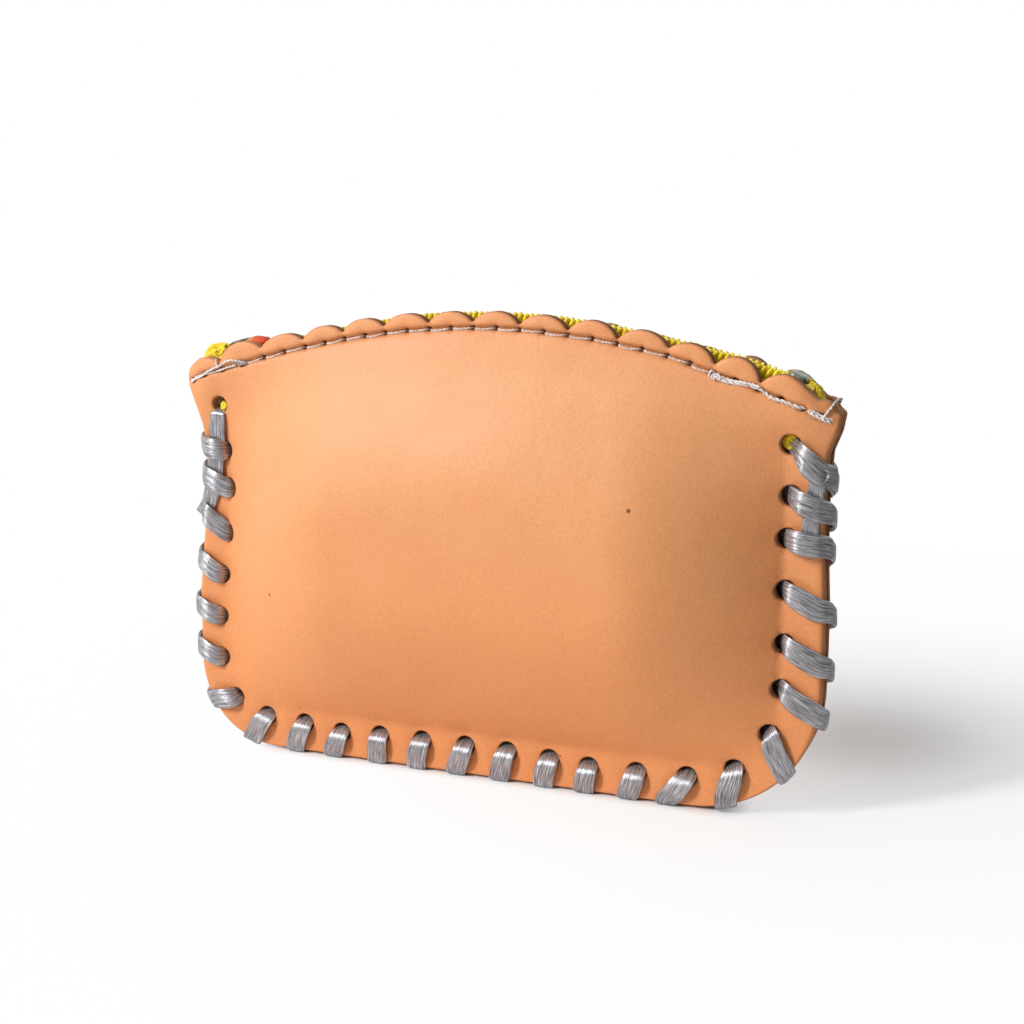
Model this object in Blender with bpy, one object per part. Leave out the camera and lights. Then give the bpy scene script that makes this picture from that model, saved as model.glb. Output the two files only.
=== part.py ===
"""A leather coin purse: two padded-out panels laced together round three sides,
with a curved zip between their scalloped top edges.

X runs along the width, Y from the front panel to the back one, Z up.
The origin is under the middle, on the surface that the laced edge stands on.
"""
import math

import bmesh
import bpy
import numpy as np
from mathutils import Vector
from mathutils.geometry import delaunay_2d_cdt

# Outline of a panel, seen from the front
SIDE_WIDTH = 0.0976
SIDE_FLARE = 0.0012
FLARE_HEIGHT = 0.0055
CORNER_HEIGHT = 0.0590
CORNER_CUT = 0.0012
TOP_RISE = 0.00975
BOTTOM_RADIUS = 0.0125

# Scallops along the top edge
LOBE_COUNT = 14
LOBE_DEPTH = 0.00225
LEFT_PLAIN_EDGE = 0.0038
RIGHT_PLAIN_EDGE = 0.0072

# Leather, and how far the two panels stand apart
LEATHER = 0.0018
EDGE_HALF_GAP = 0.0006
BULGE = 0.0098
FLANGE = 0.0060
BULGE_RUN = 0.0220
TOP_FLANGE = 0.0030
TOP_RUN = 0.0260
BULGE_POWER = 1.3
MOUTH_FLAT = 0.0015
MOUTH_RUN = 0.0110
MOUTH_END_MARGIN = 0.0048
MOUTH_END_RUN = 0.0070

# Lacing
HOLE_RADIUS = 0.0015
HOLE_SIDE_INSET = 0.0055
HOLE_BOTTOM_INSET = 0.0040
HOLE_PITCH = 0.0068
TOP_HOLE_DROP = 0.0056
LACE_WIDTH = 0.0032
LACE_THICKNESS = 0.0008
LACE_HOLE_WIDTH = 0.0022
LACE_HOLE_SHIFT = 0.0002
LACE_FOLD = 0.00035
FRONT_FOLD_SHARE = 0.24
BACK_FOLD_SHARE = 0.66
TAIL_WIDTH = 0.0022
TAIL_OUT = 0.0027
TAIL_STITCHES = 3
TAIL_END = 0.0040
TAIL_HALF_TURNED = 0.00033
TAIL_TURNED = 0.00132
STITCH_LIFT_RUN = 0.0005

# Zip
ZIP_DEPTH = 0.0022
TAPE_THICKNESS = 0.0004
TAPE_DEPTH = 0.0093
TAPE_END_DEPTH = 0.0056
TAPE_END_MARGIN = 0.0029
TAPE_LEFT_FOLD = 0.0030
TAPE_RIGHT_FOLD = 0.0007
FOLD_LENGTH = 0.0031
FOLD_WIDTH = 0.0011
FOLD_HALF_GAP = 0.00015
COIL_WIDTH = 0.00105
COIL_HEIGHT = 0.0012
COIL_PITCH = 0.00175
COIL_WAIST = 0.00022
SLOT_HALF = 0.00045
SLIDER_LENGTH = 0.0070
SLIDER_LIP = 0.00035
SLIDER_LIP_LIFT = 0.00024
SLIDER_PLATE = 0.0004
SLIDER_POST_HALF = 0.0002
SLIDER_KEEL_HALF = 0.0012
BRIDGE_LENGTH = 0.0030
BRIDGE_HALF_WIDTH = 0.00045
BRIDGE_BAR = 0.00045
BRIDGE_WINDOW = 0.00075
STOP_LENGTH = 0.0023
STOP_HEIGHT = 0.0019
STOP_CHAMFER = 0.0006

# Pull tab of leather, looped through the slider's bridge
TAB_THICKNESS = 0.0004
TAB_LEG = 0.00045
TAB_BAR = 0.0005
TAB_LENGTH = 0.0070

# Thread
THREAD_RADIUS = 0.00028
THREAD_WAIST = 0.00012
STITCH_INSET = 0.0030
STITCHES_PER_LOBE = 2
EXTRA_STITCHES = 1

# Clearances
FIT = 0.0003
SEAT = 0.00025
THREAD_SEAT = 0.00015

# How finely the curved surfaces are drawn
PANEL_SPACING = 0.0075
EDGE_SPACING = 0.0045
FIRST_ROW = 0.0040
ROW_SPACING = 0.0028
ROW_ROOM = 0.0045
HOLE_ROOM = 0.0033
FACET_ROOM = 0.0010
COLUMN_SPACING = 0.0070
TAIL_SPACING = 0.0027
MERGE_DISTANCE = 0.0000001
SHARP_DEGREES = 35
PATH_SAMPLES = 40
LOBE_STEPS = 6
ROUND_STEPS = 6
HOLE_SIDES = 8
THREAD_SIDES = 4

# Places worked out from the sizes above
FRONT, BACK = -1.0, 1.0
HALF_WIDTH = SIDE_WIDTH / 2
CORNER_X = HALF_WIDTH + SIDE_FLARE
ARC_RADIUS = (CORNER_X**2 + TOP_RISE**2) / (2 * TOP_RISE)
ARC_CENTRE_Z = CORNER_HEIGHT + TOP_RISE - ARC_RADIUS
CORNER_ANGLE = math.asin(CORNER_X / ARC_RADIUS)
LEATHER_BOTTOM = LACE_THICKNESS + FIT
FIRST_LOBE = -CORNER_ANGLE + LEFT_PLAIN_EDGE / ARC_RADIUS
LAST_LOBE = CORNER_ANGLE - RIGHT_PLAIN_EDGE / ARC_RADIUS
LOBE_ANGLE = (LAST_LOBE - FIRST_LOBE) / (LOBE_COUNT - 1)
COIL_OUTER = SLOT_HALF + COIL_WIDTH
SLIDER_HALF_WIDTH = COIL_OUTER + FIT + SLIDER_LIP
MOUTH_HALF_GAP = SLIDER_HALF_WIDTH + FIT
TAPE_TOP = ARC_RADIUS - ZIP_DEPTH
COIL_BOTTOM = TAPE_TOP + SEAT
COIL_TOP = COIL_BOTTOM + COIL_HEIGHT
PLATE_BOTTOM = COIL_TOP + FIT
PLATE_TOP = PLATE_BOTTOM + SLIDER_PLATE
PULL_PIVOT = PLATE_TOP + BRIDGE_WINDOW / 2
KEEL_TOP = TAPE_TOP - TAPE_THICKNESS - FIT
SLIDER_HALF_ANGLE = SLIDER_LENGTH / 2 / ARC_RADIUS
TAPE_END_ANGLE = CORNER_ANGLE - TAPE_END_MARGIN / ARC_RADIUS
FOLD_ANGLE = TAPE_END_ANGLE - FOLD_LENGTH / ARC_RADIUS
SEAT_ANGLE = FIT / ARC_RADIUS
STOP_ANGLE = STOP_LENGTH / ARC_RADIUS
COIL_LEFT = -(FOLD_ANGLE - SEAT_ANGLE)
STOP_RIGHT = FOLD_ANGLE - SEAT_ANGLE
COIL_RIGHT = STOP_RIGHT - STOP_ANGLE - SEAT_ANGLE
SLIDER_ANGLE = COIL_LEFT + SLIDER_HALF_ANGLE + SEAT_ANGLE
HOLE_X = HALF_WIDTH - HOLE_SIDE_INSET
LACE_ANGLE = math.asin((HOLE_X - LACE_THICKNESS / 2 - FIT) / ARC_RADIUS)
TAPE_STEP_ANGLE = SEAT_ANGLE / 8
HOLE_BOTTOM_Z = LEATHER_BOTTOM + HOLE_BOTTOM_INSET
TOP_HOLE_Z = CORNER_HEIGHT - TOP_HOLE_DROP
TAIL_LIFT = LACE_THICKNESS + SEAT
COLUMN_STEP = COLUMN_SPACING / ARC_RADIUS
ROW_DEPTHS = [FIRST_ROW + row * ROW_SPACING for row in range(3)]


def smooth(value):
    """0 below 0, 1 above 1, with an even slope between."""
    value = min(max(value, 0.0), 1.0)
    return value * value * (3 - 2 * value)


def rise(distance, flat, run):
    """The pillow's rise from 0 at the end of the flat flange to 1 after its run."""
    share = min(max((distance - flat) / run, 0.0), 1.0)
    return math.sin(math.pi / 2 * share**BULGE_POWER)


def on_arc(angle, radius):
    """A point (x, z) at a radius of the top edge's arc. Positive angles lie to the right."""
    return radius * math.sin(angle), ARC_CENTRE_Z + radius * math.cos(angle)


def half_gap(x, z):
    """Distance from the middle plane to a panel's inner face."""
    side = HALF_WIDTH - abs(x)
    bottom = z - LEATHER_BOTTOM
    top = ARC_RADIUS - math.hypot(x, z - ARC_CENTRE_Z)
    pillow = rise(side, FLANGE, BULGE_RUN) * rise(bottom, FLANGE, BULGE_RUN)
    pillow *= BULGE * rise(top, TOP_FLANGE, TOP_RUN)
    mouth = smooth(1 - (MOUTH_END_MARGIN - side) / MOUTH_END_RUN)
    mouth *= 1 - smooth((top - MOUTH_FLAT) / MOUTH_RUN)
    return EDGE_HALF_GAP + pillow + mouth * (MOUTH_HALF_GAP - EDGE_HALF_GAP)


def outer_face(x, z):
    """Distance from the middle plane to a panel's outer face."""
    step = 1e-5
    slope_x = (half_gap(x + step, z) - half_gap(x - step, z)) / (2 * step)
    slope_z = (half_gap(x, z + step) - half_gap(x, z - step)) / (2 * step)
    return half_gap(x, z) + LEATHER * math.sqrt(1 + slope_x**2 + slope_z**2)


def around(x, z):
    """A point and its neighbours, as far away as flat facets may stray from the curved leather."""
    steps = (-FACET_ROOM, 0.0, FACET_ROOM)
    return [(x + across, z + up) for across in steps for up in steps]


def room_inside(x, z):
    """How far from the middle plane a piece may reach beside a panel's inner face."""
    return min(half_gap(*place) for place in around(x, z)) - FIT


def level_outside(x, z):
    """Distance from the middle plane at which a piece lies on a panel's outer face."""
    return max(outer_face(*place) for place in around(x, z)) + FIT


def principled(name, colour, roughness, metallic=0.0):
    material = bpy.data.materials.new(name)
    material.use_nodes = True
    shader = material.node_tree.nodes["Principled BSDF"]
    shader.inputs["Base Color"].default_value = (*colour, 1.0)
    shader.inputs["Roughness"].default_value = roughness
    shader.inputs["Metallic"].default_value = metallic
    return material


def add_object(name, vertices, faces, material, pivot=(0.0, 0.0, 0.0)):
    """A closed mesh object whose origin is at its pivot."""
    mesh = bpy.data.meshes.new(name)
    mesh.from_pydata([Vector(v) - Vector(pivot) for v in vertices], [], faces)
    closed = bmesh.new()
    closed.from_mesh(mesh)
    bmesh.ops.recalc_face_normals(closed, faces=closed.faces)
    closed.to_mesh(mesh)
    closed.free()
    mesh.shade_smooth()
    mesh.set_sharp_from_angle(angle=math.radians(SHARP_DEGREES))
    mesh.materials.append(material)
    thing = bpy.data.objects.new(name, mesh)
    thing.location = pivot
    bpy.context.collection.objects.link(thing)
    return thing


def loft(name, rings, material, pivot=(0.0, 0.0, 0.0)):
    """A solid through rings of corners, closed by a flat face at each end."""
    count = len(rings[0])
    faces = [list(range(count))]
    for ring in range(len(rings) - 1):
        for k in range(count):
            low, low_next = ring * count + k, ring * count + (k + 1) % count
            faces.append([low, low_next, low_next + count, low + count])
    last = (len(rings) - 1) * count
    faces.append([last + k for k in reversed(range(count))])
    return add_object(name, [p for ring in rings for p in ring], faces, material, pivot)


def ring_plate(name, outer, inner, material, pivot=(0.0, 0.0, 0.0)):
    """A plate with one opening. outer and inner are loops of (near, far) corner pairs."""
    count = len(outer)
    vertices = [p for loop in (outer, inner) for pair in loop for p in pair]
    faces = []
    for k in range(count):
        a, b = 2 * k, 2 * ((k + 1) % count)
        c, d = a + 2 * count, b + 2 * count
        faces += [[a, b, d, c], [a + 1, c + 1, d + 1, b + 1]]
        faces += [[a, a + 1, b + 1, b], [c, d, d + 1, c + 1]]
    return add_object(name, vertices, faces, material, pivot)


def top_edge_radius(angle):
    """Radius of the scalloped edge: lobes between the first and the last, plain beyond."""
    if not FIRST_LOBE < angle < LAST_LOBE:
        return ARC_RADIUS
    along = (angle - FIRST_LOBE) / LOBE_ANGLE
    off_peak = min(2 * abs(along - round(along)), 1.0)
    return ARC_RADIUS - LOBE_DEPTH * (1 - math.sqrt(1 - off_peak**2))


def top_edge():
    """The top edge from right to left."""
    angles = [LAST_LOBE]
    for lobe in range(LOBE_COUNT - 1):
        for step in range(1, LOBE_STEPS + 1):
            turn = math.pi * step / LOBE_STEPS
            half_lobe = math.sin(turn) / 2
            if turn > math.pi / 2:
                half_lobe = 1 - half_lobe
            angles.append(LAST_LOBE - LOBE_ANGLE * (lobe + half_lobe))
    return [on_arc(a, top_edge_radius(a)) for a in angles]


def outline():
    """Corners (x, z) of a panel, anticlockwise from the bottom right round corner."""
    right = []
    centre_x, centre_z = HALF_WIDTH - BOTTOM_RADIUS, LEATHER_BOTTOM + BOTTOM_RADIUS
    for step in range(ROUND_STEPS + 1):
        turn = math.pi / 2 * step / ROUND_STEPS
        x = centre_x + BOTTOM_RADIUS * math.sin(turn)
        right.append((x, centre_z - BOTTOM_RADIUS * math.cos(turn)))
    side_top = CORNER_HEIGHT - FLARE_HEIGHT
    parts = math.ceil((side_top - centre_z) / EDGE_SPACING)
    for part in range(1, parts + 1):
        right.append((HALF_WIDTH, centre_z + (side_top - centre_z) * part / parts))
    right.append((CORNER_X, CORNER_HEIGHT - CORNER_CUT / 2))
    right.append(on_arc(math.asin((CORNER_X - CORNER_CUT) / ARC_RADIUS), ARC_RADIUS))
    left = [(-x, z) for x, z in reversed(right)]
    return right + top_edge() + left


def hole_path():
    """Points (x, z) close together along the row of lace holes, from top right to top left."""
    centre_x, centre_z = HALF_WIDTH - BOTTOM_RADIUS, LEATHER_BOTTOM + BOTTOM_RADIUS
    across, down = HOLE_X - centre_x, centre_z - HOLE_BOTTOM_Z
    turns = np.linspace(0, math.pi / 2, PATH_SAMPLES)
    side = [(HOLE_X, z) for z in np.linspace(TOP_HOLE_Z, centre_z, PATH_SAMPLES)[:-1]]
    corner = [(centre_x + across * math.cos(t), centre_z - down * math.sin(t)) for t in turns]
    right = side + corner
    return np.array(right + [(-x, z) for x, z in reversed(right)])


PATH = hole_path()
PATH_STEPS = np.linalg.norm(np.diff(PATH, axis=0), axis=1)
PATH_LENGTHS = np.concatenate([[0.0], np.cumsum(PATH_STEPS)])
HOLE_SPACES = round(PATH_LENGTHS[-1] / HOLE_PITCH)
HOLE_STEP = PATH_LENGTHS[-1] / HOLE_SPACES


def along_path(stitches):
    """Point, direction of travel and outward direction, so many hole spaces along the row."""
    length = stitches * HOLE_STEP
    k = int(np.clip(np.searchsorted(PATH_LENGTHS, length) - 1, 0, len(PATH) - 2))
    share = (length - PATH_LENGTHS[k]) / PATH_STEPS[k]
    travel = (PATH[k + 1] - PATH[k]) / PATH_STEPS[k]
    point = PATH[k] + share * (PATH[k + 1] - PATH[k])
    return point, travel, np.array([-travel[1], travel[0]])


def edge_distance(point, outward):
    """How far the leather's edge is from a point, going outward."""
    centre = np.array([HALF_WIDTH - BOTTOM_RADIUS, LEATHER_BOTTOM + BOTTOM_RADIUS])
    mirrored = np.array([abs(point[0]), point[1]])
    heading = np.array([outward[0] * math.copysign(1, point[0]), outward[1]])
    if mirrored[1] >= centre[1]:
        return (HALF_WIDTH - mirrored[0]) / heading[0]
    if mirrored[0] <= centre[0]:
        return (mirrored[1] - LEATHER_BOTTOM) / -heading[1]
    offset = mirrored - centre
    slant = offset @ heading
    return -slant + math.sqrt(slant**2 + BOTTOM_RADIUS**2 - offset @ offset)


def zip_columns():
    """Angles at which both the tapes and the leather beside them have their corners."""
    steps = int(FOLD_ANGLE / COLUMN_STEP)
    ends = [FOLD_ANGLE, TAPE_END_ANGLE]
    return [-a for a in reversed(ends)] + [k * COLUMN_STEP for k in range(-steps, steps + 1)] + ends


def hole_centres():
    return np.array([along_path(hole)[0] for hole in range(HOLE_SPACES + 1)])


def in_a_hole(point, centres):
    """Whether a point lies inside the many-sided lace hole nearest to it."""
    away = point - centres[np.linalg.norm(centres - point, axis=1).argmin()]
    turns = (np.arange(HOLE_SIDES) + 0.5) * 2 * math.pi / HOLE_SIDES
    reach = (np.column_stack([np.cos(turns), np.sin(turns)]) @ away).max()
    return reach < HOLE_RADIUS * math.cos(math.pi / HOLE_SIDES)


def inner_points(centres):
    """Points inside a panel's outline, clear of the edges and of the holes."""
    rows = [on_arc(angle, ARC_RADIUS - depth) for depth in ROW_DEPTHS for angle in zip_columns()]
    top_row = ARC_RADIUS - ROW_DEPTHS[-1] - ROW_ROOM
    columns = int(HALF_WIDTH / PANEL_SPACING) + 1
    levels = int((CORNER_HEIGHT + TOP_RISE) / PANEL_SPACING) + 1
    for i in range(-columns, columns + 1):
        for j in range(levels):
            x, z = i * PANEL_SPACING, LEATHER_BOTTOM + FLANGE + j * PANEL_SPACING
            if math.hypot(x, z - ARC_CENTRE_Z) < top_row:
                rows.append((x, z))
    clear = []
    for point in rows:
        near_hole = np.linalg.norm(centres - point, axis=1).min() < HOLE_ROOM
        if not near_hole and HALF_WIDTH - abs(point[0]) > FLANGE / 2:
            clear.append(point)
    return clear


def panel_triangles():
    """The panel's face as points (x, z) and the triangles between them, with the holes open."""
    edge, centres = outline(), hole_centres()
    turns = np.arange(HOLE_SIDES) * 2 * math.pi / HOLE_SIDES
    ring = HOLE_RADIUS * np.column_stack([np.cos(turns), np.sin(turns)])
    points = list(edge)
    hole_edges = []
    for centre in centres:
        first = len(points)
        points += [tuple(corner) for corner in centre + ring]
        hole_edges += [(first + k, first + (k + 1) % HOLE_SIDES) for k in range(HOLE_SIDES)]
    points += inner_points(centres)
    flat = [Vector(p) for p in points]
    result = delaunay_2d_cdt(flat, hole_edges, [list(range(len(edge)))], 1, MERGE_DISTANCE)
    found = np.array([tuple(v) for v in result[0]])
    triangles = [face for face in result[2] if not in_a_hole(found[face].mean(axis=0), centres)]
    return found, triangles


def panel(name, side, face, material):
    """One leather panel: the flat face bent to the pillow's shape, with the leather's thickness."""
    points, triangles = face
    inner = [(x, side * half_gap(x, z), z) for x, z in points]
    outer = [(x, side * outer_face(x, z), z) for x, z in points]
    count = len(points)
    directed = {edge for a, b, c in triangles for edge in ((a, b), (b, c), (c, a))}
    rim = sorted((a, b) for a, b in directed if (b, a) not in directed)
    faces = [list(t) for t in triangles] + [[i + count for i in reversed(t)] for t in triangles]
    faces += [[b, a, a + count, b + count] for a, b in rim]
    return add_object(name, inner + outer, faces, material)


def lace_section(stitches, inner, outer, half_width, along_edge=1.0):
    """The lace's four corners at a place along the row of holes.

    inner and outer are (distance outward from the hole row, y) on the lace's two faces.
    along_edge is 1 where the lace's width lies along the edge and 0 where it lies across it.
    Nothing goes below z = 0, because the lace is pressed flat where the purse stands on it.
    """
    point, travel, outward = along_path(stitches)
    corners = []
    for sign, (out, y) in ((-1, inner), (1, inner), (1, outer), (-1, outer)):
        shift = sign * half_width
        flat = point + outward * (out + shift * (1 - along_edge)) + travel * shift * along_edge
        corners.append((flat[0], y, max(flat[1], 0.0)))
    return corners


def lace_level(stitches, out):
    """Distance from the middle plane at which the lace lies, beside the row of holes."""
    point, _, outward = along_path(stitches)
    return level_outside(*(point + outward * out))


def through_hole(hole, side):
    """Section where the lace bends from the hole onto a panel's face."""
    level = lace_level(hole, 0.0)
    half = LACE_THICKNESS / 2
    inner = (LACE_HOLE_SHIFT + half, side * level)
    outer = (LACE_HOLE_SHIFT - half, side * (level + LACE_THICKNESS))
    return lace_section(hole, inner, outer, LACE_HOLE_WIDTH / 2)


def round_edge(front_place, back_place, width, lift=0.0):
    """Sections that carry the lace round the panels' edge, from front to back."""
    sections = []
    for side, stitches in ((FRONT, front_place), (BACK, back_place)):
        point, _, outward = along_path(stitches)
        inside = edge_distance(point, outward) + FIT + lift
        level = lace_level(stitches, inside - FIT - lift) + lift
        outside, top = inside + LACE_THICKNESS, level + LACE_THICKNESS
        over = [
            ((inside - LACE_FOLD / 2, side * level), (outside - LACE_FOLD, side * top)),
            ((inside, side * (level - LACE_FOLD / 2)), (outside, side * (top - LACE_FOLD))),
        ]
        if side == BACK:
            over.reverse()
        sections += [lace_section(stitches, inner, outer, width / 2) for inner, outer in over]
    middle = (front_place + back_place) / 2
    point, _, outward = along_path(middle)
    inside = edge_distance(point, outward) + FIT + lift
    across = lace_section(middle, (inside, 0.0), (inside + LACE_THICKNESS, 0.0), width / 2)
    return sections[:2] + [across] + sections[2:]


def lifted_stitch(hole):
    """Sections that carry a front stitch over a tucked tail."""
    edge = edge_distance(*along_path(hole)[::2])
    reach = TAIL_WIDTH / 2 + STITCH_LIFT_RUN
    sections = []
    for out in (TAIL_OUT - reach, TAIL_OUT + reach):
        share = out / edge
        place = hole + share * FRONT_FOLD_SHARE
        level = lace_level(place, out) + TAIL_LIFT
        half_width = (LACE_HOLE_WIDTH * (1 - share) + LACE_WIDTH * share) / 2
        inner, outer = (out, -level), (out, -level - LACE_THICKNESS)
        sections.append(lace_section(place, inner, outer, half_width))
    return sections


def tail_section(stitches, out, along_edge):
    """A section of a tail that lies flat on the front panel."""
    level = lace_level(stitches, out)
    inner, outer = (out, -level), (out, -level - LACE_THICKNESS)
    return lace_section(stitches, inner, outer, TAIL_WIDTH / 2, along_edge)


def tail_run(start, end):
    """Straight stretch of a tail beside the row of holes."""
    steps = max(round(abs(end - start) * HOLE_STEP / TAIL_SPACING), 1)
    return [tail_section(start + (end - start) * k / steps, TAIL_OUT, 0.0) for k in range(steps + 1)]


def edge_lace(material):
    """One lace, whip-stitched from the top right hole round to the top left one.

    Its first tail lies under the first stitches, turns out round the edge under the first
    of them and comes in through the top right hole. Its last tail lies under the last ones.
    """
    last = HOLE_SPACES
    turn = TAIL_WIDTH / (2 * HOLE_STEP)
    tail_length = TAIL_STITCHES - 1 + TAIL_END / HOLE_STEP
    rings = tail_run(tail_length, FRONT_FOLD_SHARE + 2 * turn)
    rings.append(tail_section(FRONT_FOLD_SHARE + turn / 2, TAIL_OUT + TAIL_HALF_TURNED, 0.5))
    rings.append(tail_section(FRONT_FOLD_SHARE, TAIL_OUT + TAIL_TURNED, 1.0))
    rings += round_edge(FRONT_FOLD_SHARE, FRONT_FOLD_SHARE, TAIL_WIDTH)
    rings.append(through_hole(0, BACK))
    for hole in range(last + 1):
        rings.append(through_hole(hole, FRONT))
        if hole == last:
            break
        if hole < TAIL_STITCHES or hole >= last - TAIL_STITCHES:
            rings += lifted_stitch(hole)
        lift = TAIL_LIFT if hole == 0 else 0.0
        rings += round_edge(hole + FRONT_FOLD_SHARE, hole + BACK_FOLD_SHARE, LACE_WIDTH, lift)
        rings.append(through_hole(hole + 1, BACK))
    rings.append(tail_section(last, TAIL_OUT - TAIL_TURNED, 1.0))
    rings.append(tail_section(last - turn / 2, TAIL_OUT - TAIL_HALF_TURNED, 0.5))
    rings += tail_run(last - 2 * turn, last - tail_length)
    return loft("edge_lace", rings, material)


def on_zip(angle, radius, y):
    x, z = on_arc(angle, radius)
    return x, y, z


def tape_section(angle, side):
    """Section of a zip tape: flat beside the teeth, then down along the leather's inner face."""
    top, underside = TAPE_TOP, TAPE_TOP - TAPE_THICKNESS
    inner_y, shoulder = SLOT_HALF, MOUTH_HALF_GAP - FIT - SEAT
    if abs(angle) > FOLD_ANGLE - SEAT_ANGLE / 2:
        top = COIL_BOTTOM + (TAPE_LEFT_FOLD if angle < 0 else TAPE_RIGHT_FOLD)
        inner_y, shoulder = FOLD_HALF_GAP, FOLD_HALF_GAP + FOLD_WIDTH
    shoulder = min(shoulder, room_inside(*on_arc(angle, TAPE_TOP)))
    depth = TAPE_END_DEPTH if abs(angle) > LACE_ANGLE else TAPE_DEPTH
    outer = [(inner_y, top), (shoulder, top)]
    for down in (FIRST_ROW, (FIRST_ROW + depth) / 2, depth):
        radius = ARC_RADIUS - down
        outer.append((room_inside(*on_arc(angle, radius)), radius))
    inner = [(y - TAPE_THICKNESS, radius) for y, radius in reversed(outer[2:])]
    inner += [(shoulder - TAPE_THICKNESS, underside), (inner_y, underside)]
    return [on_zip(angle, radius, side * y) for y, radius in outer + inner]


def tape_angles():
    """Angles of a tape's sections, with a pair at each place where its outline steps."""
    right = [LACE_ANGLE - TAPE_STEP_ANGLE, LACE_ANGLE + TAPE_STEP_ANGLE]
    right += [FOLD_ANGLE - SEAT_ANGLE, FOLD_ANGLE, TAPE_END_ANGLE]
    middle = [a for a in zip_columns() if abs(a) < LACE_ANGLE - SEAT_ANGLE]
    return [-a for a in reversed(right)] + middle + right


def zip_tape(name, side, material):
    return loft(name, [tape_section(a, side) for a in tape_angles()], material)


def zip_coil(name, side, material):
    """A row of teeth: a bead for each tooth on a continuous spine."""
    teeth = round((COIL_RIGHT - COIL_LEFT) * ARC_RADIUS / COIL_PITCH)
    rings = []
    for k in range(2 * teeth + 1):
        angle = COIL_LEFT + (COIL_RIGHT - COIL_LEFT) * k / (2 * teeth)
        waist = COIL_WAIST if k % 2 == 0 else 0.0
        near, far = SLOT_HALF + waist, COIL_OUTER - waist
        top, bottom = COIL_TOP - waist, COIL_BOTTOM
        middle = (near + far) / 2
        shoulder = (top + bottom) / 2
        corners = [(near, bottom), (far, bottom), (far, shoulder), (middle, top), (near, shoulder)]
        rings.append([on_zip(angle, radius, side * y) for y, radius in corners])
    return loft(name, rings, material)


def zip_bottom_stop(material):
    half, shoulder = COIL_OUTER + FIT / 2, STOP_HEIGHT - STOP_CHAMFER
    corners = [(-half, 0), (half, 0), (half, shoulder), (half - STOP_CHAMFER, STOP_HEIGHT)]
    corners += [(STOP_CHAMFER - half, STOP_HEIGHT), (-half, shoulder)]
    angles = (STOP_RIGHT - STOP_ANGLE, STOP_RIGHT)
    rings = [[on_zip(a, COIL_BOTTOM + height, y) for y, height in corners] for a in angles]
    return loft("zip_bottom_stop", rings, material)


def slider_point(along, y, height):
    """A point in the slider's own directions: along the zip, across it, and out from its pivot."""
    x, z = on_arc(SLIDER_ANGLE, PULL_PIVOT + height)
    return x + along * math.cos(SLIDER_ANGLE), y, z - along * math.sin(SLIDER_ANGLE)


def slider(material):
    """The slider: a channel over the teeth, a post between the rows, a keel under the tapes."""
    lip_bottom = COIL_BOTTOM + SLIDER_LIP_LIFT
    keel_bottom = KEEL_TOP - SLIDER_PLATE
    right = [(SLIDER_KEEL_HALF, keel_bottom), (SLIDER_KEEL_HALF, KEEL_TOP)]
    right += [(SLIDER_POST_HALF, KEEL_TOP), (SLIDER_POST_HALF, PLATE_BOTTOM)]
    right += [(COIL_OUTER + FIT, PLATE_BOTTOM)]
    right += [(COIL_OUTER + FIT, lip_bottom), (SLIDER_HALF_WIDTH, lip_bottom)]
    right += [(SLIDER_HALF_WIDTH, PLATE_BOTTOM), (SLIDER_HALF_WIDTH - SLIDER_LIP, PLATE_TOP)]
    section = right + [(-y, radius) for y, radius in reversed(right)]
    rings = []
    for k in range(-2, 3):
        angle = SLIDER_ANGLE + SLIDER_HALF_ANGLE * k / 2
        rings.append([on_zip(angle, radius, y) for y, radius in section])
    pivot = (0.0, 0.0, ARC_CENTRE_Z)
    body = loft("zip_slider", rings, material, pivot)
    foot, top = -BRIDGE_WINDOW / 2, BRIDGE_WINDOW / 2
    sink = SLIDER_PLATE / 2
    half, bar = BRIDGE_LENGTH / 2, BRIDGE_BAR
    outer = [(-half, foot - sink), (half, foot - sink), (half, top)]
    outer += [(half - bar, top + bar), (bar - half, top + bar), (-half, top)]
    inner = [(bar - half, foot), (half - bar, foot), (half - bar, top - bar / 2)]
    inner += [(half - 1.5 * bar, top), (1.5 * bar - half, top), (bar - half, top - bar / 2)]
    width = BRIDGE_HALF_WIDTH
    loops = []
    for loop in (outer, inner):
        loops.append([(slider_point(u, -width, h), slider_point(u, width, h)) for u, h in loop])
    bridge = ring_plate("slider_bridge", *loops, material, pivot)
    bridge.hide_render = True
    bridge.display_type = "WIRE"
    union = body.modifiers.new("bridge", "BOOLEAN")
    union.operation = "UNION"
    union.object = bridge
    return body


def pull_tab(material):
    """A small leather tab whose loop passes under the slider's bridge."""
    leg_inner = BRIDGE_HALF_WIDTH + FIT
    leg_outer = leg_inner + TAB_LEG
    reach = math.hypot(BRIDGE_LENGTH / 2, BRIDGE_WINDOW / 2 + BRIDGE_BAR) + FIT
    half_bar, corner = TAB_BAR / 2, leg_outer / 2
    outer = [(-half_bar, -leg_outer), (TAB_LENGTH - corner, -leg_outer), (TAB_LENGTH, -corner)]
    outer += [(TAB_LENGTH, corner), (TAB_LENGTH - corner, leg_outer), (-half_bar, leg_outer)]
    inner = [(half_bar, -leg_inner), (reach / 2, -leg_inner), (reach, -leg_inner)]
    inner += [(reach, leg_inner), (reach / 2, leg_inner), (half_bar, leg_inner)]
    half = TAB_THICKNESS / 2
    loops = []
    for loop in (outer, inner):
        loops.append([(slider_point(u, y, -half), slider_point(u, y, half)) for u, y in loop])
    return ring_plate("pull_tab", *loops, material, slider_point(0.0, 0.0, 0.0))


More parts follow.
